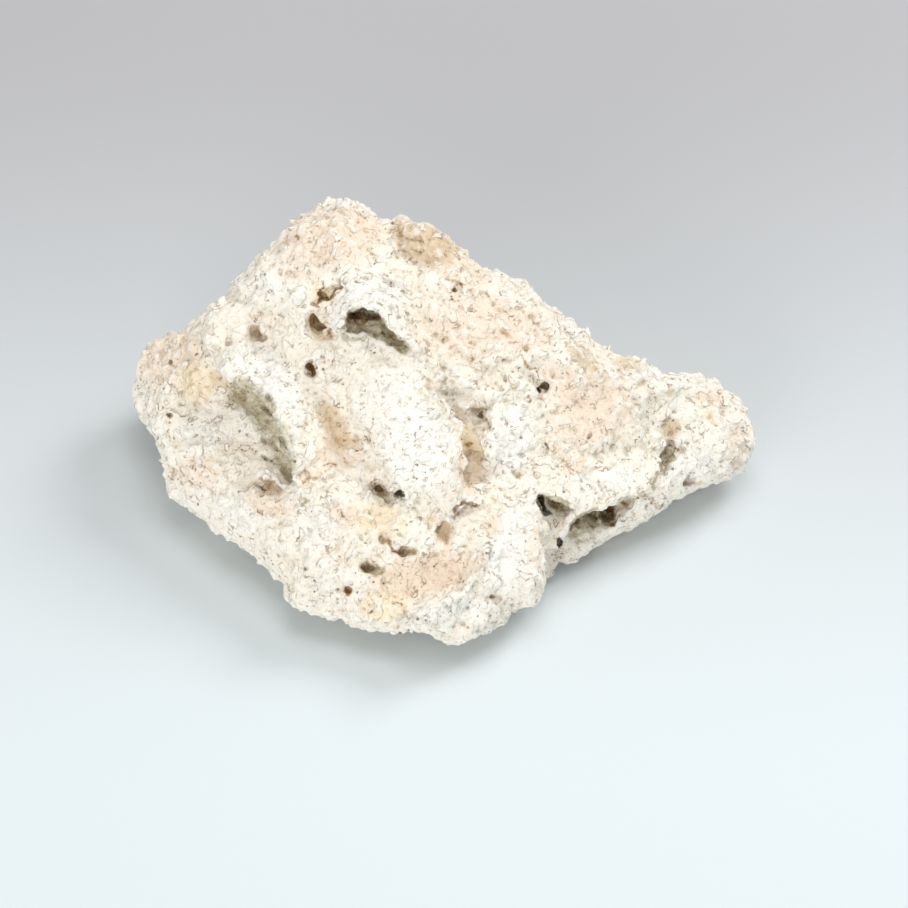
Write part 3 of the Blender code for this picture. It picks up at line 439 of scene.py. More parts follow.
STROKES = (
    Stroke("scoop lip", LIP, ((-48.5, 18.8), (-45, 16.8), (-41, 14.4), (-38, 12.4), (-35.6, 9.8),
           (-34.7, 6), (-33, 3.5), (-32, 0.4), (-31.4, -3), (-30, -5.5), (-31, -7.2)), 1.6, 1.5),
    Stroke("plate edge", LIP, ((-50.4, 18.8), (-53, 18.7), (-55, 17.4), (-57, 14.5), (-57.6, 11.5),
           (-58.8, 9.6), (-59.3, 6), (-58.4, 0)), 1.2, 0.9, OLIVE, 0.3),
    Stroke("second edge of the plate", GROOVE, ((-55.5, 16), (-56, 13), (-55, 10), (-56, 8.5)), 0.4, 0.4,
           OLIVE, 0.5),
    Stroke("flank of the plate", GROOVE, ((-58, 6), (-58.5, 2), (-57.8, -2), (-57, -4), (-57.5, -6)),
           0.4, 0.5, OLIVE, 0.5),
    Stroke("yellow slit", GROOVE, ((-56.8, -2), (-56.4, -3.4), (-56.5, -5)), 0.45, 0.7, TAN, 1.0),
    Stroke("knob crease", GROOVE, ((-50.2, 27), (-50.7, 24), (-50.6, 21), (-50.5, 18.6)), 0.6, 0.9,
           BROWN, 0.45),
    Stroke("arch lip", LIP, ((-25.6, 22.8), (-23.4, 23.4), (-21.4, 24.6), (-21, 27), (-20, 28.3),
           (-16, 28.5), (-13.2, 27.3), (-12.4, 25), (-10.8, 23.4), (-9, 21.8), (-7.6, 20.4)), 1.3, 0.4),
    Stroke("tongue's right edge", LIP, ((-2, -11.6), (0.5, -7), (1.0, 0), (0.2, 5), (-2, 8.6),
           (-5.4, 12.6)), 1.4, 1.0, TAN, 0.6),
    Stroke("tongue's left edge", LIP, ((-21.4, 13), (-19.6, 9), (-16.6, 4.5), (-16.2, 1),
           (-13, -2.2), (-9.9, -7), (-8.5, -11)), 1.3, 0.7, TAN, 0.4),
    Stroke("bench edge", LIP, ((35.6, 0.5), (36.2, 5), (35, 8.2), (33, 10.5), (32.8, 12.6),
           (30, 15.6), (27, 18.2), (24, 20.2), (20, 25)), 1.3, 1.1, TAN, 0.5),
    Stroke("groove behind the bench", GROOVE, ((24.2, 20.6), (25.4, 18.8), (27.6, 17.6), (29.6, 14.6)),
           0.45, 0.5, TAN, 0.9),
    Stroke("brow", LIP, ((16.6, -7.8), (20, -8), (23, -9), (26, -10), (29.6, -9.8), (32, -8.2),
           (37, -7.2), (40.3, -4.4), (41.4, -2), (42, 0.6)), 1.4, 0.9),
    Stroke("rim of the tail", LIP, ((41, -10), (36.6, -13), (33, -14.8), (30, -16.6), (27, -18.4),
           (24, -20), (20.6, -20)), 1.1, 0.6),
    Stroke("strut", RIDGE, ((28, -10.4), (24.4, -11.5), (22, -14), (20.2, -17.4), (18.8, -19.6)), 1.0, 1.5),
    Stroke("white lump's edge", LIP, ((17.8, 8), (16, 11.2), (14.5, 12.2), (12, 12.5), (9.5, 11.9),
           (8, 10.6), (7.4, 7.6), (6.6, 3), (6.8, -3)), 1.2, 0.75, OLIVE, 0.5),
    Stroke("lip below the tongue", LIP, ((-0.3, -13.6), (0, -11), (0.6, -10), (1.8, -9.3),
           (3.5, -9.7), (5.8, -9.9)), 1.0, 1.2, BROWN, 0.85),
    Stroke("foreland lip", LIP, ((-22, -3.4), (-25, -5), (-28, -6.5), (-30, -8), (-34, -9.6)), 1.2, 1.0,
           TAN, 0.6),
    Stroke("front overhang", LIP, ((-12, -32), (-8, -31.8), (-5.4, -32.4), (-3.5, -33.6), (-2, -34.6)),
           1.4, 0.9, OLIVE, 0.6),
    Stroke("basin's right rim", LIP, ((-2, -29.4), (2.6, -26.6), (5, -23.6), (6.4, -20.4), (6, -17)),
           1.6, 0.9),
    Stroke("first wrinkle of the arch", GROOVE, ((-24.6, 26.8), (-22.4, 29.6), (-19.4, 30.8),
           (-15, 30.6), (-11.8, 28.4), (-10.4, 25.4)), 0.5, 0.5),
    Stroke("second wrinkle of the arch", GROOVE, ((-23.4, 30.2), (-20, 32.6), (-15.6, 32.8),
           (-11.2, 31), (-8.6, 27.6), (-8.2, 24)), 0.5, 0.5),
    Stroke("third wrinkle of the arch", GROOVE, ((-20.8, 34.4), (-16, 35), (-11, 33.4),
           (-7.4, 30.2)), 0.6, 0.8, TAN, 0.4),
    Stroke("rusty crack", GROOVE, ((-28.8, 29.3), (-28.3, 30), (-27, 30.4), (-26.3, 31.3), (-25, 30.7),
           (-24, 31.5), (-23.6, 32.8), (-22.5, 32.8), (-21.8, 33.8)), 0.5, 0.9, BROWN, 1.0),
    Stroke("its branch", GROOVE, ((-26.3, 31.2), (-26.6, 32.6), (-25.7, 33), (-26, 34.6)), 0.4, 0.8,
           BROWN, 0.85),
    Stroke("its foot", GROOVE, ((-28, 30), (-27.2, 29.4), (-26.6, 29.5)), 0.35, 0.6, BROWN, 0.8),
    Stroke("rim of the hole on the ridge", GROOVE, ((-29.3, 17.4), (-29.2, 16.2), (-28.5, 15.7),
           (-27.7, 16.3), (-27.2, 17.4)), 0.3, 0.5, BROWN, 0.9),
    # Painted shade: olive along the scoop's wall, in the shade of its ridge.
    Stroke("shade of the scoop", GROOVE, ((-46, 14), (-42.4, 12.8), (-39.6, 11), (-37.6, 8.4), (-36.8, 6),
           (-35, 3.6), (-33.8, 1.6), (-33.6, -0.6), (-33, -3.4), (-32.2, -6)), 4.2, 1.9, OLIVE, 0.74),
    Stroke("valley right of the tongue", GROOVE, ((-4.5, 13.4), (-1, 10), (2, 6), (2.8, 1), (2.4, -4),
           (2, -8.6)), 1.5, 0.35, TAN, 0.4),
    Stroke("valley left of the tongue", GROOVE, ((-24.5, 10), (-22, 6), (-20, 2), (-17.5, -1),
           (-15, -4.4)), 2.0, 0.5),
    Stroke("fold above the shelf", RIDGE, ((8, -8), (12, -9.6), (15, -9), (17, -6.6)), 1.3, 0.6),
    Stroke("fold down the front", RIDGE, ((-20, -14), (-16, -15), (-12, -14), (-9, -11.6)), 1.3, 0.5),
    Stroke("fold of the shoulder", RIDGE, ((-2, 24), (2, 20.6), (7, 18.4), (12, 14.6)), 1.4, 0.7),
    Stroke("second fold of the shoulder", RIDGE, ((4, 27), (9, 25.6), (14, 22.4), (18, 20)), 1.3, 0.6),
    Stroke("fold of the slope", RIDGE, ((-40, 29), (-35, 28.4), (-32, 30.4), (-29, 34.6)), 1.4, 0.6),
    # Painted shade: olive at the foot of the scoop's ridge.
    Stroke("dark foot of the scoop ridge", GROOVE, ((-40, 12.4), (-37.6, 10.9), (-36, 9.4),
           (-35.4, 7.6)), 0.8, 0.9, OLIVE, 1.0),
    Stroke("crack on the foreland", GROOVE, ((-23, -11.3), (-21.6, -12.6), (-20, -14)), 0.45, 0.7,
           BROWN, 0.55),
    Stroke("crack on its back", GROOVE, ((-30.2, -10.4), (-29.2, -9.6), (-28.4, -8.8)), 0.5, 0.7, OLIVE, 0.9),
    Stroke("crack by the tongue", GROOVE, ((-14.2, -1.9), (-13.2, -1.3), (-12, -1)), 0.4, 0.6, BROWN, 0.6),
    Stroke("first crack of the shoulder", GROOVE, ((-11.6, 46.4), (-11, 44.5), (-9.6, 43.2),
           (-8, 43.2), (-6.8, 42.4), (-6.4, 41.3)), 0.5, 0.9, BROWN, 0.65),
    Stroke("second crack of the shoulder", GROOVE, ((-9, 41.7), (-8, 40.6), (-6.5, 40.4), (-6.2, 41)),
           0.45, 0.8, BROWN, 0.6),
    Stroke("crescent by the nodule", GROOVE, ((-17.6, 5.4), (-17, 4), (-17.6, 2.8), (-19.2, 2.4),
           (-21.4, 3)), 0.5, 0.8, BROWN, 0.55),
    Stroke("first crease of the valley", GROOVE, ((-26, 9.5), (-25, 7.5), (-24, 6), (-22.5, 5.2),
           (-21.8, 4.4)), 0.45, 0.6, TAN, 1.0),
    Stroke("second crease of the valley", GROOVE, ((-22.5, 9), (-21.5, 8), (-21, 6.5), (-21.5, 5.2)),
           0.45, 0.6, BROWN, 0.45),
    Stroke("dashes on the bench", GROOVE, ((18.3, 4), (20.2, 3.9), (22, 4.2), (24.2, 3.9)), 0.35, 0.5,
           BROWN, 0.45),
    Stroke("slit right of the white lump", GROOVE, ((18.1, 2.5), (18.4, 1.6), (18.5, 0.4)), 0.5, 1.0,
           BLACK, 0.7),
    Stroke("crack down the bench", GROOVE, ((20.2, -0.6), (20.6, -2.2), (21.2, -3.6), (21.5, -5.4)),
           0.35, 0.5, BROWN, 0.4),
    Stroke("slit on the bench", GROOVE, ((29.6, 2.4), (29.7, 1.2), (30, -0.2)), 0.35, 0.6, RUST, 0.7),
    Stroke("brown crevice", GROOVE, ((-14.4, -16.2), (-14, -17.3), (-13, -17.2), (-12.2, -18.8),
           (-10.5, -19.7), (-9.8, -19.3), (-6.7, -19.4)), 0.6, 1.0, RUST, 0.8),
    Stroke("crescent at the front rim", GROOVE, ((9.8, -28.2), (9.6, -29), (9, -29.8)), 0.4, 0.7,
           BROWN, 0.5),
    Stroke("slit of the crest", GROOVE, ((-2.2, 35), (-0.6, 34.7), (0.7, 34.4), (1.5, 33.4)), 0.5, 0.8,
           OLIVE, 0.9),
    Stroke("crease below the crest", GROOVE, ((13.5, 30.6), (13.5, 29.2), (14.1, 28)), 0.4, 0.6, TAN, 0.9),
    Stroke("second crease below the crest", GROOVE, ((16, 29.5), (17, 27.4)), 0.4, 0.6, TAN, 0.9),
    Stroke("crease under the shoulder", GROOVE, ((13, 20.4), (13.6, 18.6), (14.4, 17.2), (16.7, 17.2)),
           0.45, 0.7, RUST, 0.7),
    Stroke("crease right of the arch", GROOVE, ((-3.5, 21), (-3, 18.5), (-2, 16), (-2.5, 13),
           (-1.2, 12), (2, 12)), 0.6, 0.7, OLIVE, 0.6),
    Stroke("crease under the arch's leg", GROOVE, ((-8.5, 18), (-7.5, 16.5), (-6, 15), (-3.6, 13.6)),
           0.5, 0.6, TAN, 0.6),
    Stroke("small ledge", GROOVE, ((3, 17.3), (4.5, 17), (4.8, 15.5)), 0.4, 0.5, OLIVE, 0.6),
    Stroke("crack over the hole", GROOVE, ((6, 8.4), (7, 9.2), (8.4, 10.2)), 0.4, 0.6, OLIVE, 0.9),
    Stroke("crack below the hole", GROOVE, ((6.6, 6.6), (7.2, 5.2), (8.2, 3.8)), 0.5, 0.7, OLIVE, 0.9),
    Stroke("ring round the orange pit", GROOVE, ((0.4, 4), (1.4, 5.6), (3, 6)), 0.4, 0.4, TAN, 0.7),
    Stroke("crack on the foreland dome", GROOVE, ((-44.5, -1.5), (-43.6, -2.6), (-43, -3.8)), 0.4, 0.5,
           TAN, 0.8),
    Stroke("recess in the scoop", GROOVE, ((-38.7, 0), (-37, -1), (-36, -2.2)), 0.5, 0.7, OLIVE, 1.0),
    Stroke("brown recess", GROOVE, ((-39.6, -6.2), (-38.6, -7), (-37.2, -7.6)), 0.5, 0.9, BROWN, 0.9),
    Stroke("its right branch", GROOVE, ((-38.4, -6.3), (-36.8, -6.2), (-35.6, -7), (-34.8, -8.4)), 0.35, 0.7,
           BROWN, 0.7),
    Stroke("its apron", GROOVE, ((-38, -6.8), (-36.6, -6.9), (-35.6, -8)), 0.8, 0.15, TAN, 0.9),
    Stroke("left half of the ring", GROOVE, ((-25.2, -18.2), (-24.8, -19.5)), 0.4, 0.7, BROWN, 0.7),
    Stroke("right half of the ring", GROOVE, ((-23, -17.7), (-23.1, -19)), 0.4, 0.7, BROWN, 0.7),
    Stroke("arc on the peak", GROOVE, ((-23.2, 40.2), (-22.4, 41.4), (-21.2, 42)), 0.35, 0.4, TAN, 0.6),
    Stroke("second arc on the peak", GROOVE, ((-20, 41.6), (-19, 41.3), (-18.4, 40.4)), 0.35, 0.4, TAN, 0.6),
    Stroke("crack on the peak's flank", GROOVE, ((-31.6, 37.2), (-30.8, 36.2), (-30.4, 35.2)), 0.4, 0.5,
           TAN, 0.7),
    Stroke("top of the tail's recess", GROOVE, ((42, 0.6), (42.6, 1.3), (43.6, 1.5), (44.6, 1), (45.6, 0.6)),
           0.5, 0.9, BROWN, 0.75),
    Stroke("left side of the recess", GROOVE, ((42.2, 0.8), (42.4, -1), (41.7, -2.2), (41.2, -3.5)), 0.6,
           1.0, BROWN, 0.6),
    Stroke("right side of the recess", GROOVE, ((43.8, 0.4), (44, -0.8), (43, -1.6), (42.4, -2.8)), 0.5, 0.8,
           OLIVE, 1.0),
    Stroke("foot of the recess", GROOVE, ((40.4, -4.2), (39.5, -5.6), (39.8, -7.4)), 0.8, 0.8, OLIVE, 0.9),
    Stroke("front rim's crest", RIDGE, ((6.6, -17), (6, -21.6), (1.8, -26.6), (-4, -29.8)), 1.2, 0.8),
    Stroke("fold on the ridge", RIDGE, ((-38, 22.4), (-34.6, 19), (-32.6, 14)), 0.9, 0.35),
    Stroke("seam of the knob", GROOVE, ((-64, 9), (-61, 5), (-58.8, 1)), 0.6, 0.5, OLIVE, 0.4),
)

PITS = (
    Pit("hole on the scoop ridge", -28.5, 16.9, (0.8, 0.8), 0, 0.9, RUST, 0.9),
    Pit("hole above it", -28.4, 18.0, (0.45, 0.3), 0, 0.7, BROWN, 0.9),
    Pit("dark middle of the hole", -28.7, 17.2, (0.45, 0.4), 0, 1.3, BROWN, 1.0),
    Pit("foot of the hole", -28.1, 15.9, (0.7, 0.5), 0, 0.5, TAN, 0.9),
    # Painted shade: brown and black on the dark top and side of the arch's mouth.
    Pit("dark side of the mouth", -19.2, 26.8, (2.2, 1.4), 10, 0.0, BROWN, 1.0),
    Pit("black corner of the mouth", -19.8, 27.7, (1.6, 0.7), 0, 0.4, BLACK, 0.75),
    Pit("dark top of the mouth", -16.4, 27.3, (2.0, 0.6), -12, 0.4, BROWN, 0.8),
    Pit("pit on the peak's flank", -31.2, 43.2, (0.8, 0.5), -40, 1.5, BROWN, 0.8),
    Pit("slit beside it", -29, 42.2, (0.8, 0.3), 20, 0.8, BROWN, 0.6),
    Pit("rusty pit", -27.9, 26.1, (0.45, 0.8), 20, 0.8, BROWN, 1.0),
    Pit("golden rim of the pit", -27.8, 25.8, (0.9, 1.5), 20, 0.05, RUST, 0.5),
    Pit("second rusty pit", -25.3, 26.2, (0.6, 0.3), 0, 0.8, RUST, 1.0),
    Pit("third rusty pit", -24.0, 23.3, (0.5, 0.35), -60, 0.8, BROWN, 0.8),
    Pit("golden rim of the third", -23.5, 23.0, (1.0, 0.8), -60, 0.05, RUST, 0.5),
    Pit("fourth rusty pit", -25.8, 22.7, (0.6, 0.3), 10, 0.9, RUST, 0.8),
    Pit("end of the rusty crack", -21.9, 33.9, (0.7, 0.45), -30, 1.1, BLACK, 0.7),
    Pit("black hole at the tongue", -10.9, -8.1, (1.15, 1.05), 0, 2.4, BLACK, 1.0),
    Pit("its tail", -9.9, -9.4, (0.3, 0.6), 0, 0.7, BROWN, 0.5),
    Pit("dark side of the recess", -15.5, -7.0, (0.35, 0.4), 0, 0.4, BROWN, 1.0),
    Pit("left end of the basin's mouth", -17.6, -22.4, (0.8, 0.5), -20, 0.6, BROWN, 1.0),
    Pit("pit above it", -15.4, -5.4, (0.35, 0.6), 0, 0.8, RUST, 0.8),
    Pit("red hole", -21, -27, (0.72, 0.62), 0, 2.0, BLACK, 0.7),
    Pit("red rim of the hole", -21, -27, (0.9, 0.8), 0, 0.1, RUST, 0.9),
    Pit("tan pit of the basin", -5.5, -21.8, (0.75, 0.5), 30, 0.8, BROWN, 0.45),
    Pit("hole in the front rim", 7.8, -28.5, (0.9, 0.45), -10, 1.4, BROWN, 0.75),
    Pit("small hole beside it", 6.5, -28.4, (0.4, 0.35), 0, 0.8, OLIVE, 1.0),
    Pit("hole below it", 1.9, -33.6, (0.6, 0.35), -20, 0.9, BROWN, 0.45),
    Pit("hole at the front lip", -5.4, -34.2, (0.6, 0.4), 0, 0.9, BROWN, 0.45),
    Pit("hole on the bench", 17.8, 13.5, (1.0, 0.5), 10, 1.3, BLACK, 0.8),
    Pit("left end of that hole", 16.6, 12.8, (0.55, 0.6), 0, 1.3, BROWN, 1.0),
    Pit("brown gap below it", 17.1, 11.4, (0.5, 0.7), 0, 0.9, TAN, 1.0),
    Pit("brown spot in the gap", 17.7, 10.8, (0.4, 0.45), 0, 0.6, BROWN, 0.55),
    Pit("foot of the gap", 17.0, 9.4, (0.6, 0.5), 0, 0.6, TAN, 0.9),
    Pit("hole beside the white lump", 5.1, 7.8, (1.0, 0.5), 40, 1.8, BLACK, 0.8),
    Pit("its apron", 5.1, 6.4, (1.7, 0.7), 15, 0.5, OLIVE, 0.9),
    Pit("orange pit", 2.8, 1.9, (0.6, 0.6), 0, 0.8, RUST, 0.9),
    Pit("hole at the crest", 0.2, 32.6, (0.9, 0.42), -10, 1.4, BROWN, 0.85),
    Pit("slit right of it", 3, 30.2, (0.6, 0.25), 0, 0.6, BROWN, 0.5),
    Pit("tan recess below the crest", 10.4, 24.0, (1.7, 0.8), -35, 0.8, TAN, 0.9),
    Pit("recess on the shelf", 8.2, -15.0, (1.3, 1.0), 60, 0.7, TAN, 0.5),
    Pit("tan hollow on the shelf", 12.8, -4.2, (1.1, 0.8), -30, 0.5, TAN, 0.8),
    Pit("floor of the beige pit", -2.2, -15.0, (2.7, 3.3), 0, -0.9),
    Pit("pit low on the shelf", 13.8, -20.7, (0.5, 0.35), 0, 0.7, RUST, 0.6),
    Pit("pit on the ridge's head", -37.9, 23.1, (0.5, 0.5), 0, 1.0, BROWN, 0.7),
    Pit("recess above it", -39.4, 24.6, (1.1, 0.8), -60, 0.5, TAN, 1.0),
    Pit("second pit of the head", -39.8, 26.2, (0.35, 0.35), 0, 0.7, BROWN, 0.7),
    Pit("pit on the slope", -40.2, 32.6, (0.5, 0.35), 0, 0.8, BROWN, 0.4),
    Pit("pit right of it", -36.6, 31.3, (0.65, 0.3), 10, 0.8, BROWN, 0.4),
    Pit("hollow between the lumps", -32.6, 22.3, (0.6, 0.4), 60, 0.8, BROWN, 0.5),
    Pit("pit at the plate's edge", -57, 7.7, (0.75, 0.6), 0, 1.4, BROWN, 1.0),
    Pit("black pit by the knob", -50.8, 21, (0.3, 0.35), 0, 0.8, BROWN, 1.0),
    Pit("second pit by the knob", -51.5, 19.7, (0.4, 0.4), 0, 0.8, BROWN, 0.9),
    Pit("pit on the knob", -55, 22.6, (0.25, 0.25), 0, 0.5, BROWN, 0.5),
    Pit("pit on the plate", -51.8, 8.6, (0.4, 0.25), 30, 0.6, BROWN, 0.6),
    Pit("second pit on the plate", -48, -1, (0.3, 0.25), 0, 0.5, BROWN, 0.6),
    # Painted shade: olive on the scoop's wall under its ridge.
    Pit("grey side of the scoop", -41.6, 10.4, (5.2, 2.8), -38, 0.2, OLIVE, 0.55),
    Pit("its lower side", -37.4, 3.6, (5.0, 2.4), -65, 0.2, OLIVE, 0.5),
    Pit("pits in the scoop", -37.9, 2.4, (0.5, 0.8), 0, 0.9, BROWN, 0.7),
    Pit("slit at the foreland dome", -42.7, -16.4, (0.3, 0.6), 20, 0.9, BROWN, 0.7),
    Pit("slit right of it", -32.4, -16.2, (0.3, 0.4), 0, 0.8, BROWN, 0.5),
    Pit("pit on the lower flank", -29.5, -22.6, (0.4, 0.4), 0, 0.9, BROWN, 0.9),
    Pit("pit on the flank", -33.4, -21.2, (0.3, 0.3), 0, 0.7, BROWN, 0.5),
    Pit("crumbling hollow", -23, -21.9, (0.9, 0.4), 10, 0.5, TAN, 0.8),
    Pit("pit by the foreland lip", -28.6, -4, (0.5, 0.3), 0, 0.8, BROWN, 0.6),
    Pit("slot in the tail", 46.9, -5.8, (0.9, 0.35), 0, 0.5, BROWN, 0.6),
    Pit("end of the slot", 48.7, -5.7, (1.6, 0.45), 0, 0.5, TAN, 1.0),
    Pit("slot at the rim", 39.9, -9.2, (0.9, 0.3), 0, 0.9, BROWN, 0.75),
    Pit("pit above the rim", 39.2, -5.8, (0.35, 0.35), 0, 0.8, BROWN, 0.8),
    Pit("recess of the tail", 43.2, 0.2, (0.9, 1.1), 0, 0.7, OLIVE, 0.9),
    Pit("floor of the hollow", 25.4, -16.4, (4.6, 2.2), 24, 0.4, OLIVE, 0.6),
    Pit("first pocket under the brow", 24.2, -13.4, (1.5, 0.6), 35, 0.8, BROWN, 0.6),
    Pit("black side of the first pocket", 23.1, -14.6, (0.35, 0.9), -10, 0.8, BLACK, 0.7),
    Pit("second pocket under the brow", 27.6, -12.3, (1.1, 0.6), 20, 1.2, BROWN, 0.8),
    Pit("black end of it", 27.1, -12.2, (0.5, 0.35), 0, 0.6, BLACK, 0.8),
    Pit("third pocket under the brow", 26.4, -14.8, (0.9, 0.7), 20, 0.8, BROWN, 0.5),
    Pit("fourth pocket under the brow", 30.8, -12.8, (1.2, 0.8), -40, 0.9, BROWN, 0.55),
    Pit("right foot of it", 32, -13.9, (0.5, 0.5), 0, 0.8, BROWN, 0.9),
    Pit("pocket beyond it", 34.2, -9.8, (1.0, 0.5), 20, 0.9, BROWN, 0.5),
    Pit("black slit at the notch", 20.9, -17.9, (0.75, 1.5), 10, 1.8, BLACK, 1.0),
    Pit("first nodule of the foot", -31.6, -29.2, (1.5, 1.1), -30, -0.8),
    Pit("second nodule of the foot", -28.4, -29.6, (1.3, 1.0), 20, -0.7),
    Pit("third nodule of the foot", -25.4, -31.6, (1.2, 0.8), 0, -0.7),
    Pit("nodule of the seam", -28.2, -4.8, (1.0, 0.7), 20, -0.5),
    Pit("nodule in the scoop", -36, -4.4, (2.4, 1.4), 10, -0.7),
    Pit("tip of the peak", -21.8, 49.6, (1.7, 1.1), 0, -1.0),
    Pit("tooth left of it", -25.6, 47.8, (1.1, 0.8), 20, -0.7),
    Pit("gap between them", -24, 49.2, (0.7, 0.8), 0, 0.7),
    Pit("tooth right of it", -17.6, 48.2, (1.2, 0.8), -20, -0.6),
    Pit("gap right of the tip", -19.6, 49.2, (0.7, 0.7), 0, 0.6),
    Pit("gap on the crest", -11.4, 46.8, (0.9, 0.8), 0, 0.8),
    Pit("crumb on the crest", -8.4, 45.8, (1.4, 0.9), -20, -0.7),
    Pit("second crumb on the crest", 2.8, 39.6, (1.3, 0.9), -40, -0.6),
)

PATCHES = (
    Patch(PEACH, -57.5, 19.5, (8, 6), 30, 0.9),
    Patch(PEACH, -24, 43.5, (11, 7), 12, 0.9),
    Patch(PEACH, -31, 47, (5, 2), 30, 0.7),
    Patch(TAN, -6, 42.5, (8, 5), -30, 0.9),
    Patch(PEACH, 1, 38, (8, 5), -40, 0.8),
    Patch(PEACH, 3, 25, (9, 9), 0, 0.75),
    Patch(PEACH, -6, 25, (4, 7), 20, 0.6),
    Patch(PEACH, 12, 25, (9, 5), -30, 0.8),
    Patch(TAN, 19, 28, (4, 2), -35, 0.5),
    Patch(TAN, 26, 19, (5, 2), -40, 0.7),
    Patch(TAN, 34.5, 18.2, (3.6, 1.8), 0, 0.7),
    Patch(PEACH, 27, 9, (9, 8), 15, 0.95),
    Patch(PEACH, 22, 2, (5, 3), 0, 0.6),
    Patch(PEACH, 24, -2, (3, 2.4), 0, 0.7),
    Patch(PEACH, 20, 15, (5, 4), 0, 0.6),
    Patch(PEACH, 34, 13, (3, 6), 30, 0.5),
    Patch(TAN, 43.4, 5, (2.4, 2.6), 0, 0.8),
    Patch(TAN, 43.2, 12.8, (1.0, 1.6), 0, 0.8),
    Patch(PEACH, 51.5, 11, (4, 2.4), -30, 0.9),
    Patch(YELLOW, 52, 7.4, (3, 1.6), -30, 0.6),
    Patch(PEACH, 56.8, 2, (2.5, 5), 0, 0.7),
    Patch(YELLOW, -51.6, 14.4, (4.5, 4), 0, 0.75),
    Patch(TAN, -46.8, 15, (2.6, 1.8), -20, 0.8),
    Patch(PEACH, -51, -3.6, (6, 3.6), 10, 0.8),
    Patch(PEACH, -37, -9, (6, 3.4), -20, 0.9),
    Patch(PEACH, -43, 1, (5, 4), 0, 0.4),
    Patch(TAN, -23.8, 5.5, (2.8, 6.5), 25, 0.8),
    Patch(PEACH, -22.6, 0.6, (5, 4), 0, 1.0),
    Patch(PEACH, -27.5, -4.6, (4, 2), 20, 0.8),
    Patch(YELLOW, -14.5, -13, (6, 4), -10, 0.9),
    Patch(YELLOW, -18.5, -20, (6, 3), 0, 0.5),
    Patch(PEACH, -21.5, -12, (4, 3), -30, 0.8),
    Patch(YELLOW, -4.6, -12.8, (1.6, 1.2), 0, 0.9),
    Patch(TAN, -2.0, -15.2, (1.7, 2.4), -5, 1.0),
    Patch(PEACH, -1.6, -19, (2, 3), 0, 0.8),
    Patch(PEACH, -6.4, -24, (12, 4.6), 12, 1.0),
    Patch(YELLOW, -13.4, -30, (5, 4), 0, 0.8),
    Patch(PEACH, -16, -30.6, (3, 3.4), 0, 0.7),
    Patch(TAN, -9.4, -31, (1.2, 2), 20, 0.7),
    Patch(YELLOW, 2.6, 3, (2.4, 3), 10, 0.9),
    Patch(PEACH, 3.2, -3.2, (2.6, 5), 4, 1.0),
    Patch(YELLOW, 4.6, 0.6, (2.4, 2), 0, 0.7),
    Patch(TAN, 2.2, 2.4, (1.6, 1.4), 20, 0.5),
    Patch(PEACH, 8.2, -14.6, (2.6, 2.4), 60, 1.0),
    Patch(PEACH, 2.6, -14, (2.4, 3.4), -20, 0.5),
    Patch(PEACH, 15.8, -18, (2.0, 4.5), -20, 0.8),
    Patch(PEACH, 4.4, -21.6, (2.6, 3), 0, 0.6),
    Patch(PEACH, -38, 25, (6, 4), 0, 0.4),
    Patch(PEACH, -32, 36, (6, 3), 0, 0.5),
    Patch(TAN, -26.4, 25.6, (3.2, 4.6), 20, 0.8),
    Patch(YELLOW, -26, 32, (3, 2.6), 20, 1.0),
    Patch(TAN, -26, 31.8, (2.2, 1.6), 25, 0.7),
    # Olive and brown in the arch's mouth and under the brow: partly stain, partly painted shade.
    Patch(OLIVE, -16.8, 26, (4.6, 3.0), 0, 1.0),
    Patch(BROWN, -18.8, 26.8, (2.4, 1.4), 20, 0.7),
    Patch(OLIVE, -12, 23, (4.4, 1.5), -48, 1.0),
    Patch(OLIVE, 28, -13, (6.4, 3.4), 25, 1.0),
    Patch(BROWN, 26.6, -13.2, (4.2, 2.2), 30, 0.55),
    # Painted shade: olive in the scoop, under its ridge.
    Patch(OLIVE, -43.4, 14.2, (5, 1.6), -34, 0.8),
    Patch(OLIVE, -37, 8, (3.4, 4.6), 28, 0.7),
    Patch(OLIVE, -33.5, 0, (2.4, 7), 12, 0.6),
    Patch(OLIVE, 25, -18, (5, 1.6), 20, 0.5),
    Patch(OLIVE, 41.6, -3.2, (1.8, 4.5), -30, 0.6),
    Patch(OLIVE, 36, -9, (3, 1.6), 15, 0.6),
    Patch(OLIVE, 21.5, -10, (3, 1.5), 0, 0.7),
    Patch(OLIVE, -50.4, 21, (1.2, 2.4), 0, 0.6),
    Patch(OLIVE, 3.2, -10.4, (2.6, 0.7), 0, 0.7),
    Patch(OLIVE, -5, -34, (3, 1.0), -10, 0.6),
    Patch(OLIVE, -29, -26, (5, 3), -30, 0.3),
    Patch(CHALK, -16, 32, (8, 3.6), 0, 1.0),
    Patch(CHALK, -23.6, 27.4, (1.6, 3.6), -20, 0.9),
    Patch(CHALK, -7, 2, (8, 9.5), 30, 1.0),
    Patch(CHALK, -13, 13, (7, 6), 0, 0.7),
    Patch(CHALK, -37, 15.5, (10, 4.5), -48, 1.0),
    Patch(CHALK, 11.5, 3, (4.4, 7.5), -8, 1.0),
    Patch(CHALK, 11, -19, (4.4, 10), -10, 0.9),
    Patch(CHALK, 15.6, -8, (2, 4), 0, 0.6),
    Patch(CHALK, -50, 5, (6, 5), 0, 0.7),
    Patch(CHALK, -41, 6, (4, 5), 30, 0.6),
    Patch(CHALK, -37, 33.5, (3.6, 2.4), -30, 0.8),
    Patch(CHALK, 39.5, 15.6, (3, 1.8), -20, 0.9),
    Patch(CHALK, 47, -2.5, (7, 3.4), 15, 0.8),
    Patch(CHALK, 31, -5.6, (8, 3), 10, 0.8),
    Patch(CHALK, -27, -15, (5, 5), -20, 0.7),
    Patch(CHALK, -43, -12, (7, 3), -35, 0.6),
    Patch(CHALK, -2, -31, (9, 2.2), 10, 0.8),
)

# How strongly each stain lies, in broad clouds, on the sides that the strokes don't reach.
HIDDEN_STAINS = {PEACH: 0.75, YELLOW: 0.55, TAN: 0.5, CHALK: 0.7, OLIVE: 0.3}

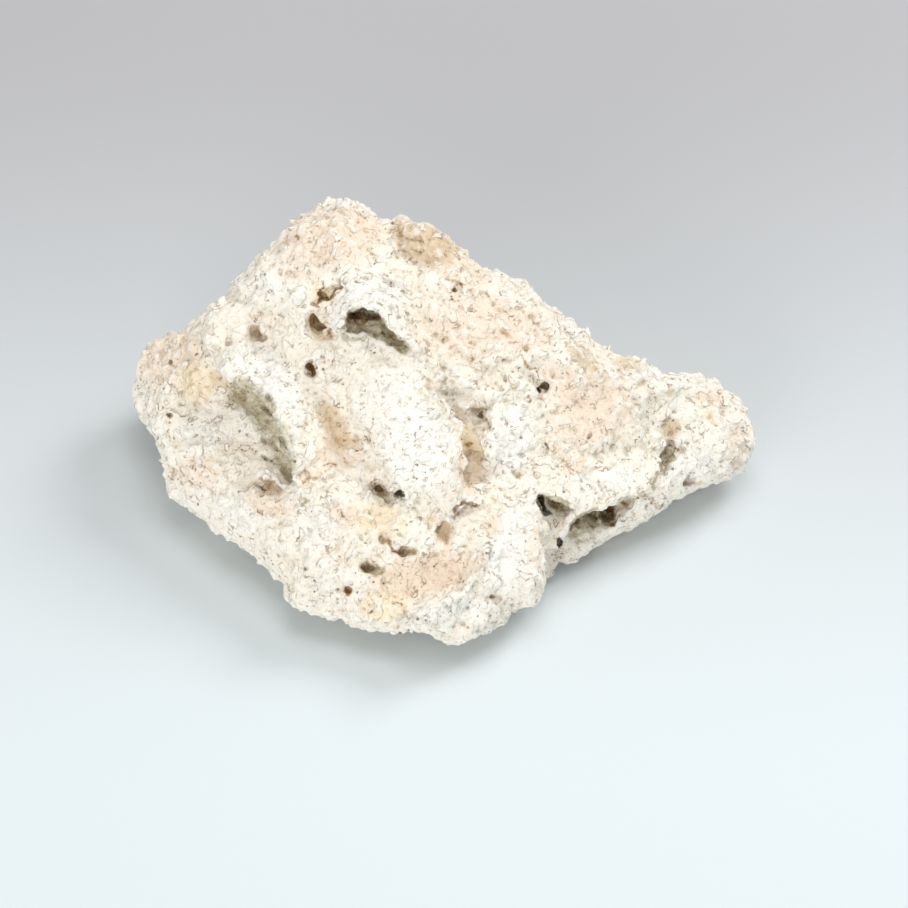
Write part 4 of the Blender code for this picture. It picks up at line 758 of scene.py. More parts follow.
# Soft ovals where the crust is calmer, and where it is layered: middle, halves, turn, strength.
SMOOTH_ZONES = (
    ("arch band", -16, 31.6, (8.5, 4.2), 0, 0.45),
    ("tongue", -8, 3, (7.5, 11), 30, 0.4),
    ("plate", -49, 6, (8, 7), 0, 0.4),
    ("scoop floor", -39, 4, (7, 9), 20, 0.4),
    ("basin", -5, -24.5, (9, 3.6), 12, 0.5),
    ("bench", 27, 8, (8, 6), 15, 0.4),
    ("strut", 23, -14, (2.2, 6.5), -35, 0.8),
    ("tail rim", 33, -17, (14, 2.4), 27, 0.7),
    ("tail's edge", 48, -7.4, (7, 2), 15, 0.6),
    ("lower left rim", -47, -13, (14, 3), -38, 0.5),
)
LAYERED_ZONES = (
    ("arch band", -16, 31.4, (11, 6.5), -10, 1.0),
    ("tongue's right side", -3, 2, (4, 10), 15, 0.7),
    ("scoop ridge", -36, 13, (10, 5), -50, 0.8),
    ("plate's edge", -56, 6, (4, 12), 0, 0.7),
    ("bench edge", 34, 6, (5, 11), 15, 0.6),
    ("basin's rim", 1, -24, (9, 6), 40, 0.7),
)


# ---------------------------------------------------------------- the rock's skin


@dataclass(frozen=True)
class FaceFrame:
    """The frame of the rock's face: where its middle is, in metres, and how far it leans back."""

    middle: tuple[float, float, float] = (0.002049, -0.005945, 0.020)
    slope: float = 50.0

    def matrix(self) -> Matrix:
        """What takes a place from the face's frame, in millimetres, to the rock's, in metres."""
        tip = Matrix.Rotation(math.radians(90.0 - self.slope), 4, "X")
        return Matrix.Translation(self.middle) @ tip @ Matrix.Scale(MM, 4)

    def outward(self) -> Vector:
        """The way out of the face, in the rock's frame."""
        return (self.matrix().to_3x3() @ Vector((0, 0, 1))).normalized()


@dataclass(frozen=True)
class Chisel:
    """Finds what lies under the strokes, pits and patches, on places that wander a little."""

    wander: tuple[tuple[float, float], ...] = ((2.4, 0.45), (0.9, 0.22))
    end_fade: float = 0.12
    stroke_margin: float = 2.4
    oval_margin: float = 1.4
    hollow_margin: float = 1.0
    lip_reach: tuple[float, float] = (2.2, 0.35)
    lip_overhang: float = 0.9
    lip_spread: float = 8.0
    groove_floor: float = 0.2
    wall_start: float = 0.5
    wall_lean: float = 0.22
    wall_width: float = 0.45
    depth_lean: float = 0.35

    def plan(self, points: Array) -> Array:
        """Each point's place in the plane of the face, wandering so that no line runs true.

        Args:
            points: Rows of places in the frame of the face.

        Returns:
            Rows of places in its plane.
        """
        flat = points * (1.0, 1.0, 0.0)
        moved = flat[:, :2].copy()
        for step, (cell, reach) in enumerate(self.wander):
            for axis in (0, 1):
                moved[:, axis] += reach * noise_at(flat, cell, 1 + axis + 2 * step)
        return moved

    def stroke(self, plan: Array, stroke: Stroke) -> tuple[Array, Array, Array, Array]:
        """Where places lie beside a stroke.

        Args:
            plan: Rows of places.
            stroke: The stroke.

        Returns:
            The indices of the places near it, and for each of them its distance, its side and how
            fully the stroke is cut there, which dies away at both ends.
        """
        near = within(plan, np.array(stroke.path), self.stroke_margin * stroke.width)
        distance, side, along = path_distance(plan[near], stroke.path)
        fade = self.end_fade
        ends = smooth_step(0.0, fade, along) * smooth_step(1.0, 1.0 - fade, along)
        return near, distance, side, ends

    def oval(self, plan: Array, mark: Pit | Patch) -> tuple[Array, Array, Array]:
        """Where places lie in a pit or a patch.

        Args:
            plan: Rows of places.
            mark: The pit or the patch.

        Returns:
            The indices of the places near it, how far each of them is out towards its edge, and how
            high it is in the oval, -1 to 1.
        """
        near = within(plan, np.array([(mark.across, mark.up)]), self.oval_margin * max(mark.half))
        away = oval_distance(plan[near], mark.across, mark.up, mark.half, mark.turn)
        turn = math.radians(mark.turn)
        tall = math.hypot(mark.half[0] * math.sin(turn), mark.half[1] * math.cos(turn))
        return near, away, np.clip((plan[near, 1] - mark.up) / tall, -1.0, 1.0)

    def hollow(self, plan: Array, hollow: Hollow) -> tuple[Array, Array, Array]:
        """Where places lie in a hollow.

        Args:
            plan: Rows of places.
            hollow: The hollow.

        Returns:
            The indices of the places near it, how far inside its outline each of them is, below 0
            when it is outside, and how high it is in the outline, 0 to 1.
        """
        nodes = np.array(hollow.outline)
        near = within(plan, nodes, self.hollow_margin)
        distance = path_distance(plan[near], (*hollow.outline, hollow.outline[0]))[0]
        low, high = nodes[:, 1].min(), nodes[:, 1].max()
        inner = np.where(inside(plan[near], hollow.outline), distance, -distance)
        return near, inner, (plan[near, 1] - low) / (high - low)

    def wall(self, high: Array) -> Array:
        """Where the wall of a pit begins: near its edge at the top, further in at the foot."""
        return self.wall_start + self.wall_lean * high

    def outward(self, plan: Array, path: Path) -> Array:
        """The way off the high side of a path, at each place near it.

        Args:
            plan: Rows of places.
            path: The path's nodes.

        Returns:
            A direction for each place.
        """
        nodes = np.array(path, float)
        steps = np.diff(nodes, axis=0)
        away = np.stack([steps[:, 1], -steps[:, 0]], axis=1)
        away /= np.linalg.norm(away, axis=1)[:, None]
        middles = (nodes[:-1] + nodes[1:]) / 2
        gaps = np.sum((plan[:, None, :] - middles[None]) ** 2, axis=2)
        near = np.exp(-gaps / self.lip_spread) + 1e-9
        return (near @ away) / near.sum(axis=1)[:, None]


class Mesh:
    """Small jobs on one object's mesh."""

    def __init__(self, name: str, mesh: bpy.types.Mesh) -> None:
        """Links the mesh to the scene as an object."""
        self.obj = bpy.data.objects.new(name, mesh)
        bpy.context.scene.collection.objects.link(self.obj)

    @property
    def data(self) -> bpy.types.Mesh:
        """The mesh as it now is."""
        return self.obj.data

    def read(self, what: str) -> Array:
        """The vertices' places or normals.

        Args:
            what: "co" for their places, "normal" for their normals.

        Returns:
            A row for each vertex.
        """
        found = np.empty(len(self.data.vertices) * 3, np.float32)
        self.data.vertices.foreach_get(what, found)
        return found.reshape(-1, 3).astype(float)

    def move_to(self, points: Array) -> None:
        """Moves every vertex to its new place."""
        self.data.vertices.foreach_set("co", points.astype(np.float32).ravel())
        self.data.update()

    def keep(self, name: str, values: Array) -> None:
        """Keeps a number for each vertex on the surface."""
        store = self.data.attributes.get(name) or self.data.attributes.new(name, "FLOAT", "POINT")
        store.data.foreach_set("value", values.astype(np.float32))

    def tree(self) -> BVHTree:
        """The mesh as a tree that rays are cast at."""
        places = [vertex.co for vertex in self.data.vertices]
        return BVHTree.FromPolygons(places, [face.vertices for face in self.data.polygons])

    def bake(self) -> None:
        """Replaces the mesh by what its modifiers make of it, and removes them."""
        graph = bpy.context.evaluated_depsgraph_get()
        made = bpy.data.meshes.new_from_object(self.obj.evaluated_get(graph))
        self.obj.modifiers.clear()
        self.obj.data = made

    def change(self, kind: str, **settings: object) -> None:
        """Applies one modifier.

        Args:
            kind: The modifier's type.
            settings: What is set on it.
        """
        modifier = self.obj.modifiers.new(kind.lower(), kind)
        for name, value in settings.items():
            setattr(modifier, name, value)
        self.bake()

    def group(self, name: str, values: Array, levels: int = 16) -> None:
        """Keeps a weight for each vertex in a vertex group.

        Args:
            name: The group's name.
            values: The weights, 0 to 1.
            levels: How many steps the weights are rounded to.
        """
        made = self.obj.vertex_groups.new(name=name)
        steps = np.round(np.clip(values, 0.0, 1.0) * levels).astype(int)
        for step in range(levels + 1):
            made.add(np.flatnonzero(steps == step).tolist(), step / levels, "REPLACE")

    def keep_largest(self) -> None:
        """Drops chips and closed bubbles that are loose from the main skin."""
        bm = bmesh.new()
        bm.from_mesh(self.data)
        waiting = set(bm.verts)
        pieces = []
        while waiting:
            front = [waiting.pop()]
            piece = []
            while front:
                vert = front.pop()
                piece.append(vert)
                near = {edge.other_vert(vert) for edge in vert.link_edges} & waiting
                waiting -= near
                front.extend(near)
            pieces.append(piece)
        pieces.sort(key=len)
        bmesh.ops.delete(bm, geom=[v for piece in pieces[:-1] for v in piece], context="VERTS")
        bm.to_mesh(self.data)
        bm.free()


@dataclass
class CrustTree:
    """The Geometry Nodes that cover the skin with knobs, crumbs, plates, layers, pits and nodules.

    The surface keeps two numbers that it reads: how crumbly it is and how layered.
    """

    sizes: dict[str, float] = field(
        default_factory=lambda: {
            "Knob size": 3.6,
            "Knob height": 1.9,
            "Crumb size": 1.7,
            "Crumb height": 1.15,
            "Grit size": 0.9,
            "Grit height": 0.6,
            "Plate size": 2.6,
            "Crease depth": 0.5,
            "Layer pitch": 1.3,
            "Layer height": 0.5,
            "Pits each square millimetre": 0.02,
            "Pit radius": 0.7,
            "Nodules each square millimetre": 0.05,
            "Nodule radius": 0.8,
        }
    )
    seed: int = 5
    wander: tuple[float, float] = (3.2, 1.1)
    patch_size: float = 6.0
    crease_width: float = 0.055

    def sockets(self, tree: bpy.types.NodeTree) -> dict[str, str]:
        """Args:
            tree: The tree.

        Returns:
            The identifier of each numbered input, by name.
        """
        face = tree.interface
        face.new_socket(name="Geometry", in_out="INPUT", socket_type="NodeSocketGeometry")
        face.new_socket(name="Geometry", in_out="OUTPUT", socket_type="NodeSocketGeometry")
        made = {
            name: face.new_socket(name=name, in_out="INPUT", socket_type="NodeSocketFloat").identifier
            for name in self.sizes
        }
        seed = face.new_socket(name="Seed", in_out="INPUT", socket_type="NodeSocketInt")
        made["Seed"] = seed.identifier
        return made

    def lumps(self, graph: Graph, place: bpy.types.NodeSocket, size: Value, height: Value) -> Value:
        """Rounded lumps that meet in creases.

        Args:
            graph: The tree.
            place: Where on the surface.
            size: How far apart the lumps are.
            height: How high they stand.

        Returns:
            The height, about half below and half above the surface.
        """
        inputs = {"Vector": place, "Smoothness": 0.08, "Randomness": 1.0}
        node = graph.add("ShaderNodeTexVoronoi", {"feature": "SMOOTH_F1"}, inputs)
        graph.tree.links.new(graph.maths("DIVIDE", 1.0, size).socket, node.inputs["Scale"])
        far = Value(graph, node.outputs["Distance"])
        return (0.45 - far) * height

    def raised(self, graph: Graph, given: bpy.types.Node) -> bpy.types.NodeSocket:
        """Moves the skin along its normals by knobs, crumbs, grit and layers.

        Args:
            graph: The tree.
            given: The group's input node.

        Returns:
            The geometry.
        """
        out = {name: Value(graph, given.outputs[name]) for name in self.sizes}
        place = graph.add("GeometryNodeInputPosition").outputs[0]
        normal = graph.add("GeometryNodeInputNormal").outputs[0]
        wandering = graph.warped(place, *self.wander)
        crumbly, layered = graph.kept("crumbly"), graph.kept("layered")
        knobs = self.lumps(graph, wandering, out["Knob size"], out["Knob height"])
        crumbs = self.lumps(graph, wandering, out["Crumb size"], out["Crumb height"])
        grit = self.lumps(graph, wandering, out["Grit size"], out["Grit height"])
        patchy = graph.ramp(graph.noise(place, self.patch_size), 0.35, 0.65)
        plates = graph.add("ShaderNodeTexNoise", None, {"Vector": wandering, "Detail": 2.0})
        plate_scale = graph.maths("DIVIDE", 1.0, out["Plate size"]).socket
        graph.tree.links.new(plate_scale, plates.inputs["Scale"])
        gap = graph.maths("ABSOLUTE", Value(graph, plates.outputs[0]) - 0.5)
        crease = (graph.ramp(gap, 0.0, self.crease_width) - 0.8) * out["Crease depth"]
        height = Value(graph, graph.add("ShaderNodeSeparateXYZ", None, {0: wandering}).outputs[2])
        phase = graph.maths("FRACT", height / out["Layer pitch"])
        layers = (graph.maths("ABSOLUTE", phase - 0.5) * 2.0 - 0.5) * out["Layer height"] * layered
        grains = grit * (patchy * 0.6 + 0.4) * (crumbly * 0.7 + 0.3)
        lift = (knobs + crumbs * (patchy * 0.9 + 0.4)) * crumbly + grains + layers + crease
        moved = {"Geometry": given.outputs["Geometry"], "Offset": graph.scaled(normal, lift)}
        return graph.add("GeometryNodeSetPosition", None, moved).outputs[0]

    def scattered(
        self, graph: Graph, skin: bpy.types.NodeSocket, density: Value, seed: Value
    ) -> bpy.types.NodeSocket:
        """Points scattered over the skin, most of all where it is crumbly."""
        inputs = {"Mesh": skin, "Density": density * graph.kept("crumbly"), "Seed": seed}
        return graph.add("GeometryNodeDistributePointsOnFaces", None, inputs).outputs["Points"]

    def between(self, graph: Graph, low: Value, high: Value, seed: Value) -> Value:
        """A random number for each point.

        Args:
            graph: The tree.
            low: The least it may be.
            high: The most it may be.
            seed: Which row of random numbers it comes from.

        Returns:
            The number.
        """
        inputs = {"Min": low, "Max": high, "Seed": seed}
        node = graph.add("FunctionNodeRandomValue", {"data_type": "FLOAT"}, None)
        for socket in node.inputs:
            if socket.enabled and socket.name in inputs:
                graph.tree.links.new(inputs[socket.name].socket, socket)
        return Value(graph, next(s for s in node.outputs if s.enabled))

    def pitted(self, graph: Graph, skin: bpy.types.NodeSocket, out: dict[str, Value]) -> bpy.types.NodeSocket:
        """Sinks the skin into a pit at each scattered point.

        Args:
            graph: The tree.
            skin: The skin's geometry.
            out: The group's inputs.

        Returns:
            The geometry.
        """
        seed, radius = out["Seed"], out["Pit radius"]
        points = self.scattered(graph, skin, out["Pits each square millimetre"], seed)
        size = self.between(graph, radius * 0.35, radius, seed + 1.0)
        kept = {"Geometry": points, "Name": "pit radius", "Value": size}
        store = graph.add(
            "GeometryNodeStoreNamedAttribute", {"data_type": "FLOAT", "domain": "POINT"}, kept
        )
        nearest = graph.add("GeometryNodeSampleNearest", {"domain": "POINT"}, {"Geometry": store.outputs[0]})
        place = graph.add("GeometryNodeInputPosition").outputs[0]
        found = []
        for kind, value in (("FLOAT", graph.kept("pit radius").socket), ("FLOAT_VECTOR", place)):
            inputs = {"Geometry": store.outputs[0], "Value": value, "Index": nearest.outputs[0]}
            settings = {"data_type": kind, "domain": "POINT"}
            found.append(graph.add("GeometryNodeSampleIndex", settings, inputs).outputs[0])
        settings = {"operation": "DISTANCE"}
        gap = graph.add("ShaderNodeVectorMath", settings, {0: place, 1: found[1]})
        reach = Value(graph, gap.outputs["Value"]) / Value(graph, found[0])
        sunk = (1.0 - graph.ramp(reach, 0.45, 1.0)) * Value(graph, found[0]) * -1.3
        normal = graph.add("GeometryNodeInputNormal").outputs[0]
        moved = {"Geometry": skin, "Offset": graph.scaled(normal, sunk)}
        return graph.add("GeometryNodeSetPosition", None, moved).outputs[0]

    def nodules(
        self, graph: Graph, skin: bpy.types.NodeSocket, out: dict[str, Value]
    ) -> bpy.types.NodeSocket:
        """Uneven little balls, half sunk in the skin.

        Args:
            graph: The tree.
            skin: The skin's geometry.
            out: The group's inputs.

        Returns:
            The balls, realised.
        """
        seed, radius = out["Seed"], out["Nodule radius"]
        points = self.scattered(graph, skin, out["Nodules each square millimetre"], seed + 7.0)
        ball = graph.add("GeometryNodeMeshIcoSphere", None, {"Radius": 1.0, "Subdivisions": 2})
        parts = [self.between(graph, radius * 0.4, radius, seed + step) for step in (11.0, 12.0, 13.0)]
        spread = graph.add("ShaderNodeCombineXYZ", None, dict(enumerate(parts))).outputs[0]
        inputs = {"Points": points, "Instance": ball.outputs[0], "Scale": spread}
        placed = graph.add("GeometryNodeInstanceOnPoints", None, inputs).outputs[0]
        return graph.add("GeometryNodeRealizeInstances", None, {"Geometry": placed}).outputs[0]

    def apply(self, skin: Mesh, material: bpy.types.Material) -> None:
        """Covers a skin with the crust and turns the result into a plain mesh.

        Args:
            skin: The skin, in the frame of the face.
            material: What the crust is made of.
        """
        tree = bpy.data.node_groups.new("crust", "GeometryNodeTree")
        identifiers = self.sockets(tree)
        graph = Graph(tree)
        given = graph.add("NodeGroupInput")
        out = {name: Value(graph, given.outputs[name]) for name in (*self.sizes, "Seed")}
        crusted = self.pitted(graph, self.raised(graph, given), out)
        joined = graph.add("GeometryNodeJoinGeometry")
        for part in (crusted, self.nodules(graph, crusted, out)):
            tree.links.new(part, joined.inputs[0])
        whole = graph.add("GeometryNodeRealizeInstances", None, {0: joined.outputs[0]})
        dressed = graph.add(
            "GeometryNodeSetMaterial", None, {"Geometry": whole.outputs[0], "Material": material}
        )
        graph.add("NodeGroupOutput", None, {0: dressed.outputs[0]})
        modifier = skin.obj.modifiers.new("crust", "NODES")
        modifier.node_group = tree
        for name, value in self.sizes.items():
            modifier[identifiers[name]] = value
        modifier[identifiers["Seed"]] = self.seed
        skin.bake()


@dataclass
class WeatheredRock:
    """The whole rock: its skin, carved and crusted, and what its surface keeps for its finish.

    A front is how far the skin turns to the front where an effect starts and where it is full. An edge
    is the same for a mark: how far out from its middle, or inside the outline of a hollow. Grains,
    cells and reaches are in millimetres.
    """

    face: FaceFrame = field(default_factory=FaceFrame)
    chisel: Chisel = field(default_factory=Chisel)
    carving_grain: float = 0.38
    crust_grain: float = 0.3
    most_triangles: int = 196000
    face_kept: float = 0.15
    carved_front: tuple[float, float] = (0.0, 0.4)
    crusted_front: tuple[float, float] = (-0.3, 0.2)
    fine_front: tuple[float, float] = (-0.3, 0.4)
    stained_front: tuple[float, float] = (-0.25, 0.25)
    zone_edge: tuple[float, float] = (1.15, 0.7)
    patch_edge: tuple[float, float] = (1.35, 0.55)
    pit_edge: tuple[float, float] = (1.25, 0.75)
    hollow_edge: tuple[float, float] = (-0.25, 0.1)
    stroke_edge: tuple[float, float] = (1.1, 0.3)
    # How much shorter a lip's stain reaches on its high side; on its low side the stain is partly painted
    # shade.
    high_side: float = 3.0
    plain_share: float = 0.9
    shelter_reach: float = 4.0
    shelter_start: float = 0.15
    shelter_lean: float = 1.15
    shelter_rays: int = 10
    shelter_seed: int = 3
    # Painted shade: how much brown is laid under a hollow's top for each millimetre of its depth.
    top_shade_each_mm: float = 0.12
    crumbly_cell: float = 9.0
    stain_cell: float = 13.0
    crust: CrustTree = field(default_factory=CrustTree)

    def copied(self, node: bpy.types.Object) -> Mesh:
        """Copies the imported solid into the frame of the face.

        Args:
            node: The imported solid, whose mesh stays as it is.

        Returns:
            The copy, merged into one closed skin.
        """
        mesh = node.data.copy()
        mesh.transform(self.face.matrix().inverted())
        bm = bmesh.new()
        bm.from_mesh(mesh)
        bmesh.ops.remove_doubles(bm, verts=bm.verts, dist=1e-4)
        bm.to_mesh(mesh)
        bm.free()
        return Mesh(PIECE_NAME, mesh)

    def cut_hollows(self, skin: Mesh) -> None:
        """Cuts the hollows out of the skin, each with a floor that falls away under its top.

        Args:
            skin: The skin, in the frame of the face.
        """
        face = skin.tree()
        for hollow in HOLLOWS:
            cutter = self.cutter(hollow, face)
            skin.change("BOOLEAN", operation="DIFFERENCE", solver="EXACT", object=cutter.obj)
            bpy.data.objects.remove(cutter.obj)

    def cutter(self, hollow: Hollow, face: BVHTree) -> Mesh:
        """Makes the tool that cuts one hollow.

        Args:
            hollow: The hollow.
            face: The skin that it is cut into.

        Returns:
            A closed prism from the hollow's floor out through the face.
        """
        low, high = (limit(v for _, v in hollow.outline) for limit in (min, max))
        bm = bmesh.new()
        floor, roof = [], []
        for u, v in hollow.outline:
            rise = (v - low) / (high - low)
            found = face.ray_cast(Vector((u, v, CUTTER_REACH)), Vector((0, 0, -1)))[0]
            sink = hollow.foot + (hollow.depth - hollow.foot) * rise
            floor.append(bm.verts.new((u, v + hollow.under * rise, found.z - sink)))
            roof.append(bm.verts.new((u, v, CUTTER_REACH)))
        bm.faces.new(reversed(floor))
        bm.faces.new(roof)
        for i in range(len(roof)):
            bm.faces.new((floor[i - 1], floor[i], roof[i], roof[i - 1]))
        bmesh.ops.triangulate(bm, faces=bm.faces)
        bmesh.ops.recalc_face_normals(bm, faces=bm.faces)
        made = Mesh(hollow.name, bpy.data.meshes.new(hollow.name))
        bm.to_mesh(made.data)
        bm.free()
        return made

    def zone(self, plan: Array, zones: tuple) -> Array:
        """How far each place is inside the strongest of some soft oval zones.

        Args:
            plan: Rows of places in the plane of the face.
            zones: The zones: name, across, up, half sizes, turn and strength.

        Returns:
            0 to 1 for each place.
        """
        found = np.zeros(len(plan))
        for _, across, up, half, turn, strength in zones:
            away = oval_distance(plan, across, up, half, turn)
            found = np.maximum(found, strength * smooth_step(*self.zone_edge, away))
        return found

    def carve(self, skin: Mesh) -> None:
        """Cuts the strokes and the pits into the face.

        Args:
            skin: The skin, in the frame of the face.
        """
        points, normals = skin.read("co"), skin.read("normal")
        plan = self.chisel.plan(points)
        lift = np.zeros(len(points))
        pull = np.zeros((len(points), 2))
        for stroke in STROKES:
            near, distance, side, ends = self.chisel.stroke(plan, stroke)
            if stroke.cut is LIP:
                reach = np.where(side > 0, *self.chisel.lip_reach) * stroke.width
                rise = stroke.height * ends * (1.0 - smooth_step(0.0, 1.0, distance / reach))
                overhang = (self.chisel.lip_overhang * rise)[:, None]
                pull[near] += self.chisel.outward(plan[near], stroke.path) * overhang
            else:
                height = stroke.height if stroke.cut is RIDGE else -stroke.height
                flank = smooth_step(self.chisel.groove_floor, 1.0, distance / stroke.width)
                rise = height * ends * (1.0 - flank)
            lift[near] += rise
        sunk = np.zeros(len(points))
        for pit in PITS:
            near, away, high = self.chisel.oval(plan, pit)
            slope = smooth_step(0.0, self.chisel.wall_width, away - self.chisel.wall(high))
            depth = pit.depth * (1.0 + self.chisel.depth_lean * high) * (1.0 - slope)
            if pit.depth > 0:
                sunk[near] = np.maximum(sunk[near], depth)
            else:
                lift[near] -= depth
        lift -= sunk
        facing = smooth_step(*self.carved_front, normals[:, 2])
        points += normals * (lift * facing)[:, None]
        points[:, :2] += pull * facing[:, None]
        skin.move_to(points)

    def mark_crust(self, skin: Mesh) -> None:
        """Keeps on the surface how crumbly and how layered it is.

        Args:
            skin: The skin, in the frame of the face.
        """
        points, normals = skin.read("co"), skin.read("normal")
        front = smooth_step(*self.crusted_front, normals[:, 2])
        smooth = self.zone(points[:, :2], SMOOTH_ZONES) * front
        wild = 0.5 + 0.5 * noise_at(points, self.crumbly_cell, 4)
        skin.keep("crumbly", np.clip((0.55 + 0.6 * wild) * (1.0 - smooth), 0.0, 1.0))
        layered = self.zone(points[:, :2], LAYERED_ZONES) * front + 0.5 * wild * (1.0 - front)
        skin.keep("layered", layered)

    def settle(self, skin: Mesh) -> None:
        """Brings the skin to the rock's frame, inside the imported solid's box.

        Args:
            skin: The skin, in the frame of the face.
        """
        skin.data.transform(self.face.matrix())
        low, high = np.array(CAD_BOX[0]), np.array(CAD_BOX[1])
        skin.move_to(np.clip(skin.read("co"), low, high))

    def sheltered(self, skin: Mesh) -> Array:
        """How much of the sky over each vertex is closed off by stone close by.

        Args:
            skin: The skin, in the rock's frame.

        Returns:
            0 to 1 for each vertex.
        """
        tree = skin.tree()
        rng = np.random.default_rng(self.shelter_seed)
        rays = rng.normal(size=(self.shelter_rays, 3))
        rays /= np.linalg.norm(rays, axis=1)[:, None]
        points, normals = skin.read("co"), skin.read("normal")
        found = np.zeros(len(points))
        reach = self.shelter_reach * MM
        for i, (point, normal) in enumerate(zip(points.tolist(), normals)):
            start = Vector(point) + Vector(normal) * (self.shelter_start * MM)
            ways = rays + self.shelter_lean * normal
            hits = sum(tree.ray_cast(start, Vector(way), reach)[0] is not None for way in ways.tolist())
            found[i] = hits / self.shelter_rays
        return found

    def relief(self, skin: Mesh, iterations: int) -> Array:
        """How far each vertex stands out of the smoothed surface.

        Args:
            skin: The skin, in the rock's frame.
            iterations: How often the surface is smoothed.

        Returns:
            The height of each vertex, in millimetres.
        """
        soft = Mesh("smoothed", skin.data.copy())
        soft.change("SMOOTH", iterations=iterations, factor=0.5)
        gap = (skin.read("co") - soft.read("co")) * skin.read("normal")
        bpy.data.objects.remove(soft.obj)
        return gap.sum(axis=1) / MM

    def stained(self, plan: Array, shelter: Array) -> dict[Stain, Array]:
        """How strongly each stain, painted shade among them, lies on the face.

        Args:
            plan: Rows of places.
            shelter: How sheltered each place is.

        Returns:
            A strength for each place, by stain.
        """
        found = {stain: np.zeros(len(plan)) for stain in Stain}
        # Painted shade: brown and olive patches are laid only where the stone is sheltered.
        deep = {BROWN: smooth_step(0.1, 0.6, shelter), OLIVE: smooth_step(0.0, 0.4, shelter)}

        def lay(stain: Stain, near: Array, amount: Array) -> None:
            """Lays a stain where it is stronger than what is there."""
            found[stain][near] = np.maximum(found[stain][near], amount)

        for patch in PATCHES:
            near, away, _ = self.chisel.oval(plan, patch)
            amount = patch.strength * smooth_step(*self.patch_edge, away)
            lay(patch.stain, near, amount * (deep[patch.stain][near] if patch.stain in deep else 1.0))
        for pit in (pit for pit in PITS if pit.stain):
            near, away, high = self.chisel.oval(plan, pit)
            # Painted shade: a pit's stain grows a little towards its top, where its rim shades it.
            lay(pit.stain, near, pit.strength * (0.85 + 0.15 * high) * smooth_step(*self.pit_edge, away))
        for hollow in HOLLOWS:
            near, inner, high = self.chisel.hollow(plan, hollow)
            # Painted shade: a hollow's stain grows towards its top, and brown is laid under its top, more the
            # deeper it is.
            amount = hollow.strength * (0.7 + 0.3 * high) * smooth_step(*self.hollow_edge, inner)
            lay(hollow.stain, near, amount)
            top = smooth_step(0.5, 1.0, high) * smooth_step(-0.1, 0.15, inner)
            lay(BROWN, near, self.top_shade_each_mm * hollow.depth * top)
        for stroke in (stroke for stroke in STROKES if stroke.stain):
            near, distance, side, ends = self.chisel.stroke(plan, stroke)
            # On a lip the stain lies mostly on its low side, partly as painted shade at its foot.
            if stroke.cut is LIP:
                distance = np.where(side > 0, self.high_side, 1.0) * distance
            amount = stroke.strength * ends * smooth_step(*self.stroke_edge, distance / stroke.width)
            lay(stroke.stain, near, amount)
        return found

    def mark_stains(self, skin: Mesh) -> None:
        """Keeps on the surface where each stain is, how sheltered it is and how far it stands out.

        Args:
            skin: The skin, in the rock's frame.
        """
        to_face = np.array(self.face.matrix().inverted())
        points = skin.read("co") @ to_face[:3, :3].T + to_face[:3, 3]
        normals = skin.read("normal") @ np.array(self.face.matrix().to_3x3()) / MM
        front = smooth_step(*self.stained_front, normals[:, 2])
        shelter = self.sheltered(skin)
        for seed, (stain, values) in enumerate(self.stained(self.chisel.plan(points), shelter).items()):
            broad = smooth_step(-0.05, 0.45, noise_at(points, self.stain_cell, 20 + seed))
            behind = HIDDEN_STAINS.get(stain, 0.0) * broad * (1.0 - front)
            skin.keep(stain.value, np.maximum(values * front, behind))
        skin.keep("sheltered", shelter)
        skin.keep("fine relief", self.relief(skin, 3))
        skin.keep("relief", self.relief(skin, 30))

    def thin_out(self, skin: Mesh) -> None:
        """Brings the triangles down, keeping the most on the face.

        Args:
            skin: The skin, in the frame of the face.
        """
        front = smooth_step(*self.fine_front, skin.read("normal")[:, 2])
        skin.group("plain", 1.0 - self.plain_share * front)
        skin.change(
            "DECIMATE",
            vertex_group="plain",
            vertex_group_factor=self.face_kept,
            ratio=self.most_triangles / (2 * len(skin.data.polygons)),
            use_collapse_triangulate=True,
        )
        skin.obj.vertex_groups.clear()

    def build(self, node: bpy.types.Object, material: bpy.types.Material) -> bpy.types.Object:
        """Makes the rock.

        Args:
            node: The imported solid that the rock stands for.
            material: Its finish.

        Returns:
            The finished piece.
        """
        skin = self.copied(node)
        self.cut_hollows(skin)
        skin.change("REMESH", mode="VOXEL", voxel_size=self.carving_grain)
        skin.change("SMOOTH", iterations=2, factor=0.5)
        self.carve(skin)
        skin.change("REMESH", mode="VOXEL", voxel_size=self.crust_grain)
        self.mark_crust(skin)
        self.crust.apply(skin, material)
        skin.change("REMESH", mode="VOXEL", voxel_size=self.crust_grain)
        skin.change("SMOOTH", iterations=1, factor=0.35)
        self.thin_out(skin)
        skin.keep_largest()
        self.settle(skin)
        self.mark_stains(skin)
        skin.data.materials.clear()
        skin.data.materials.append(material)
        skin.data.shade_smooth()
        log.info("%s: %d triangles", PIECE_NAME, len(skin.data.polygons))
        return skin.obj


# ---------------------------------------------------------------- the finish


def linear(red: int, green: int, blue: int) -> tuple[float, float, float, float]:
    """A colour from its display values.

    Args:
        red: Its red, 0 to 255.
        green: Its green.
        blue: Its blue.

    Returns:
        The colour as the nodes read it, fully opaque.
    """
    parts = [c / 255 for c in (red, green, blue)]
    made = [c / 12.92 if c <= 0.04045 else ((c + 0.055) / 1.055) ** 2.4 for c in parts]
    return (*made, 1.0)


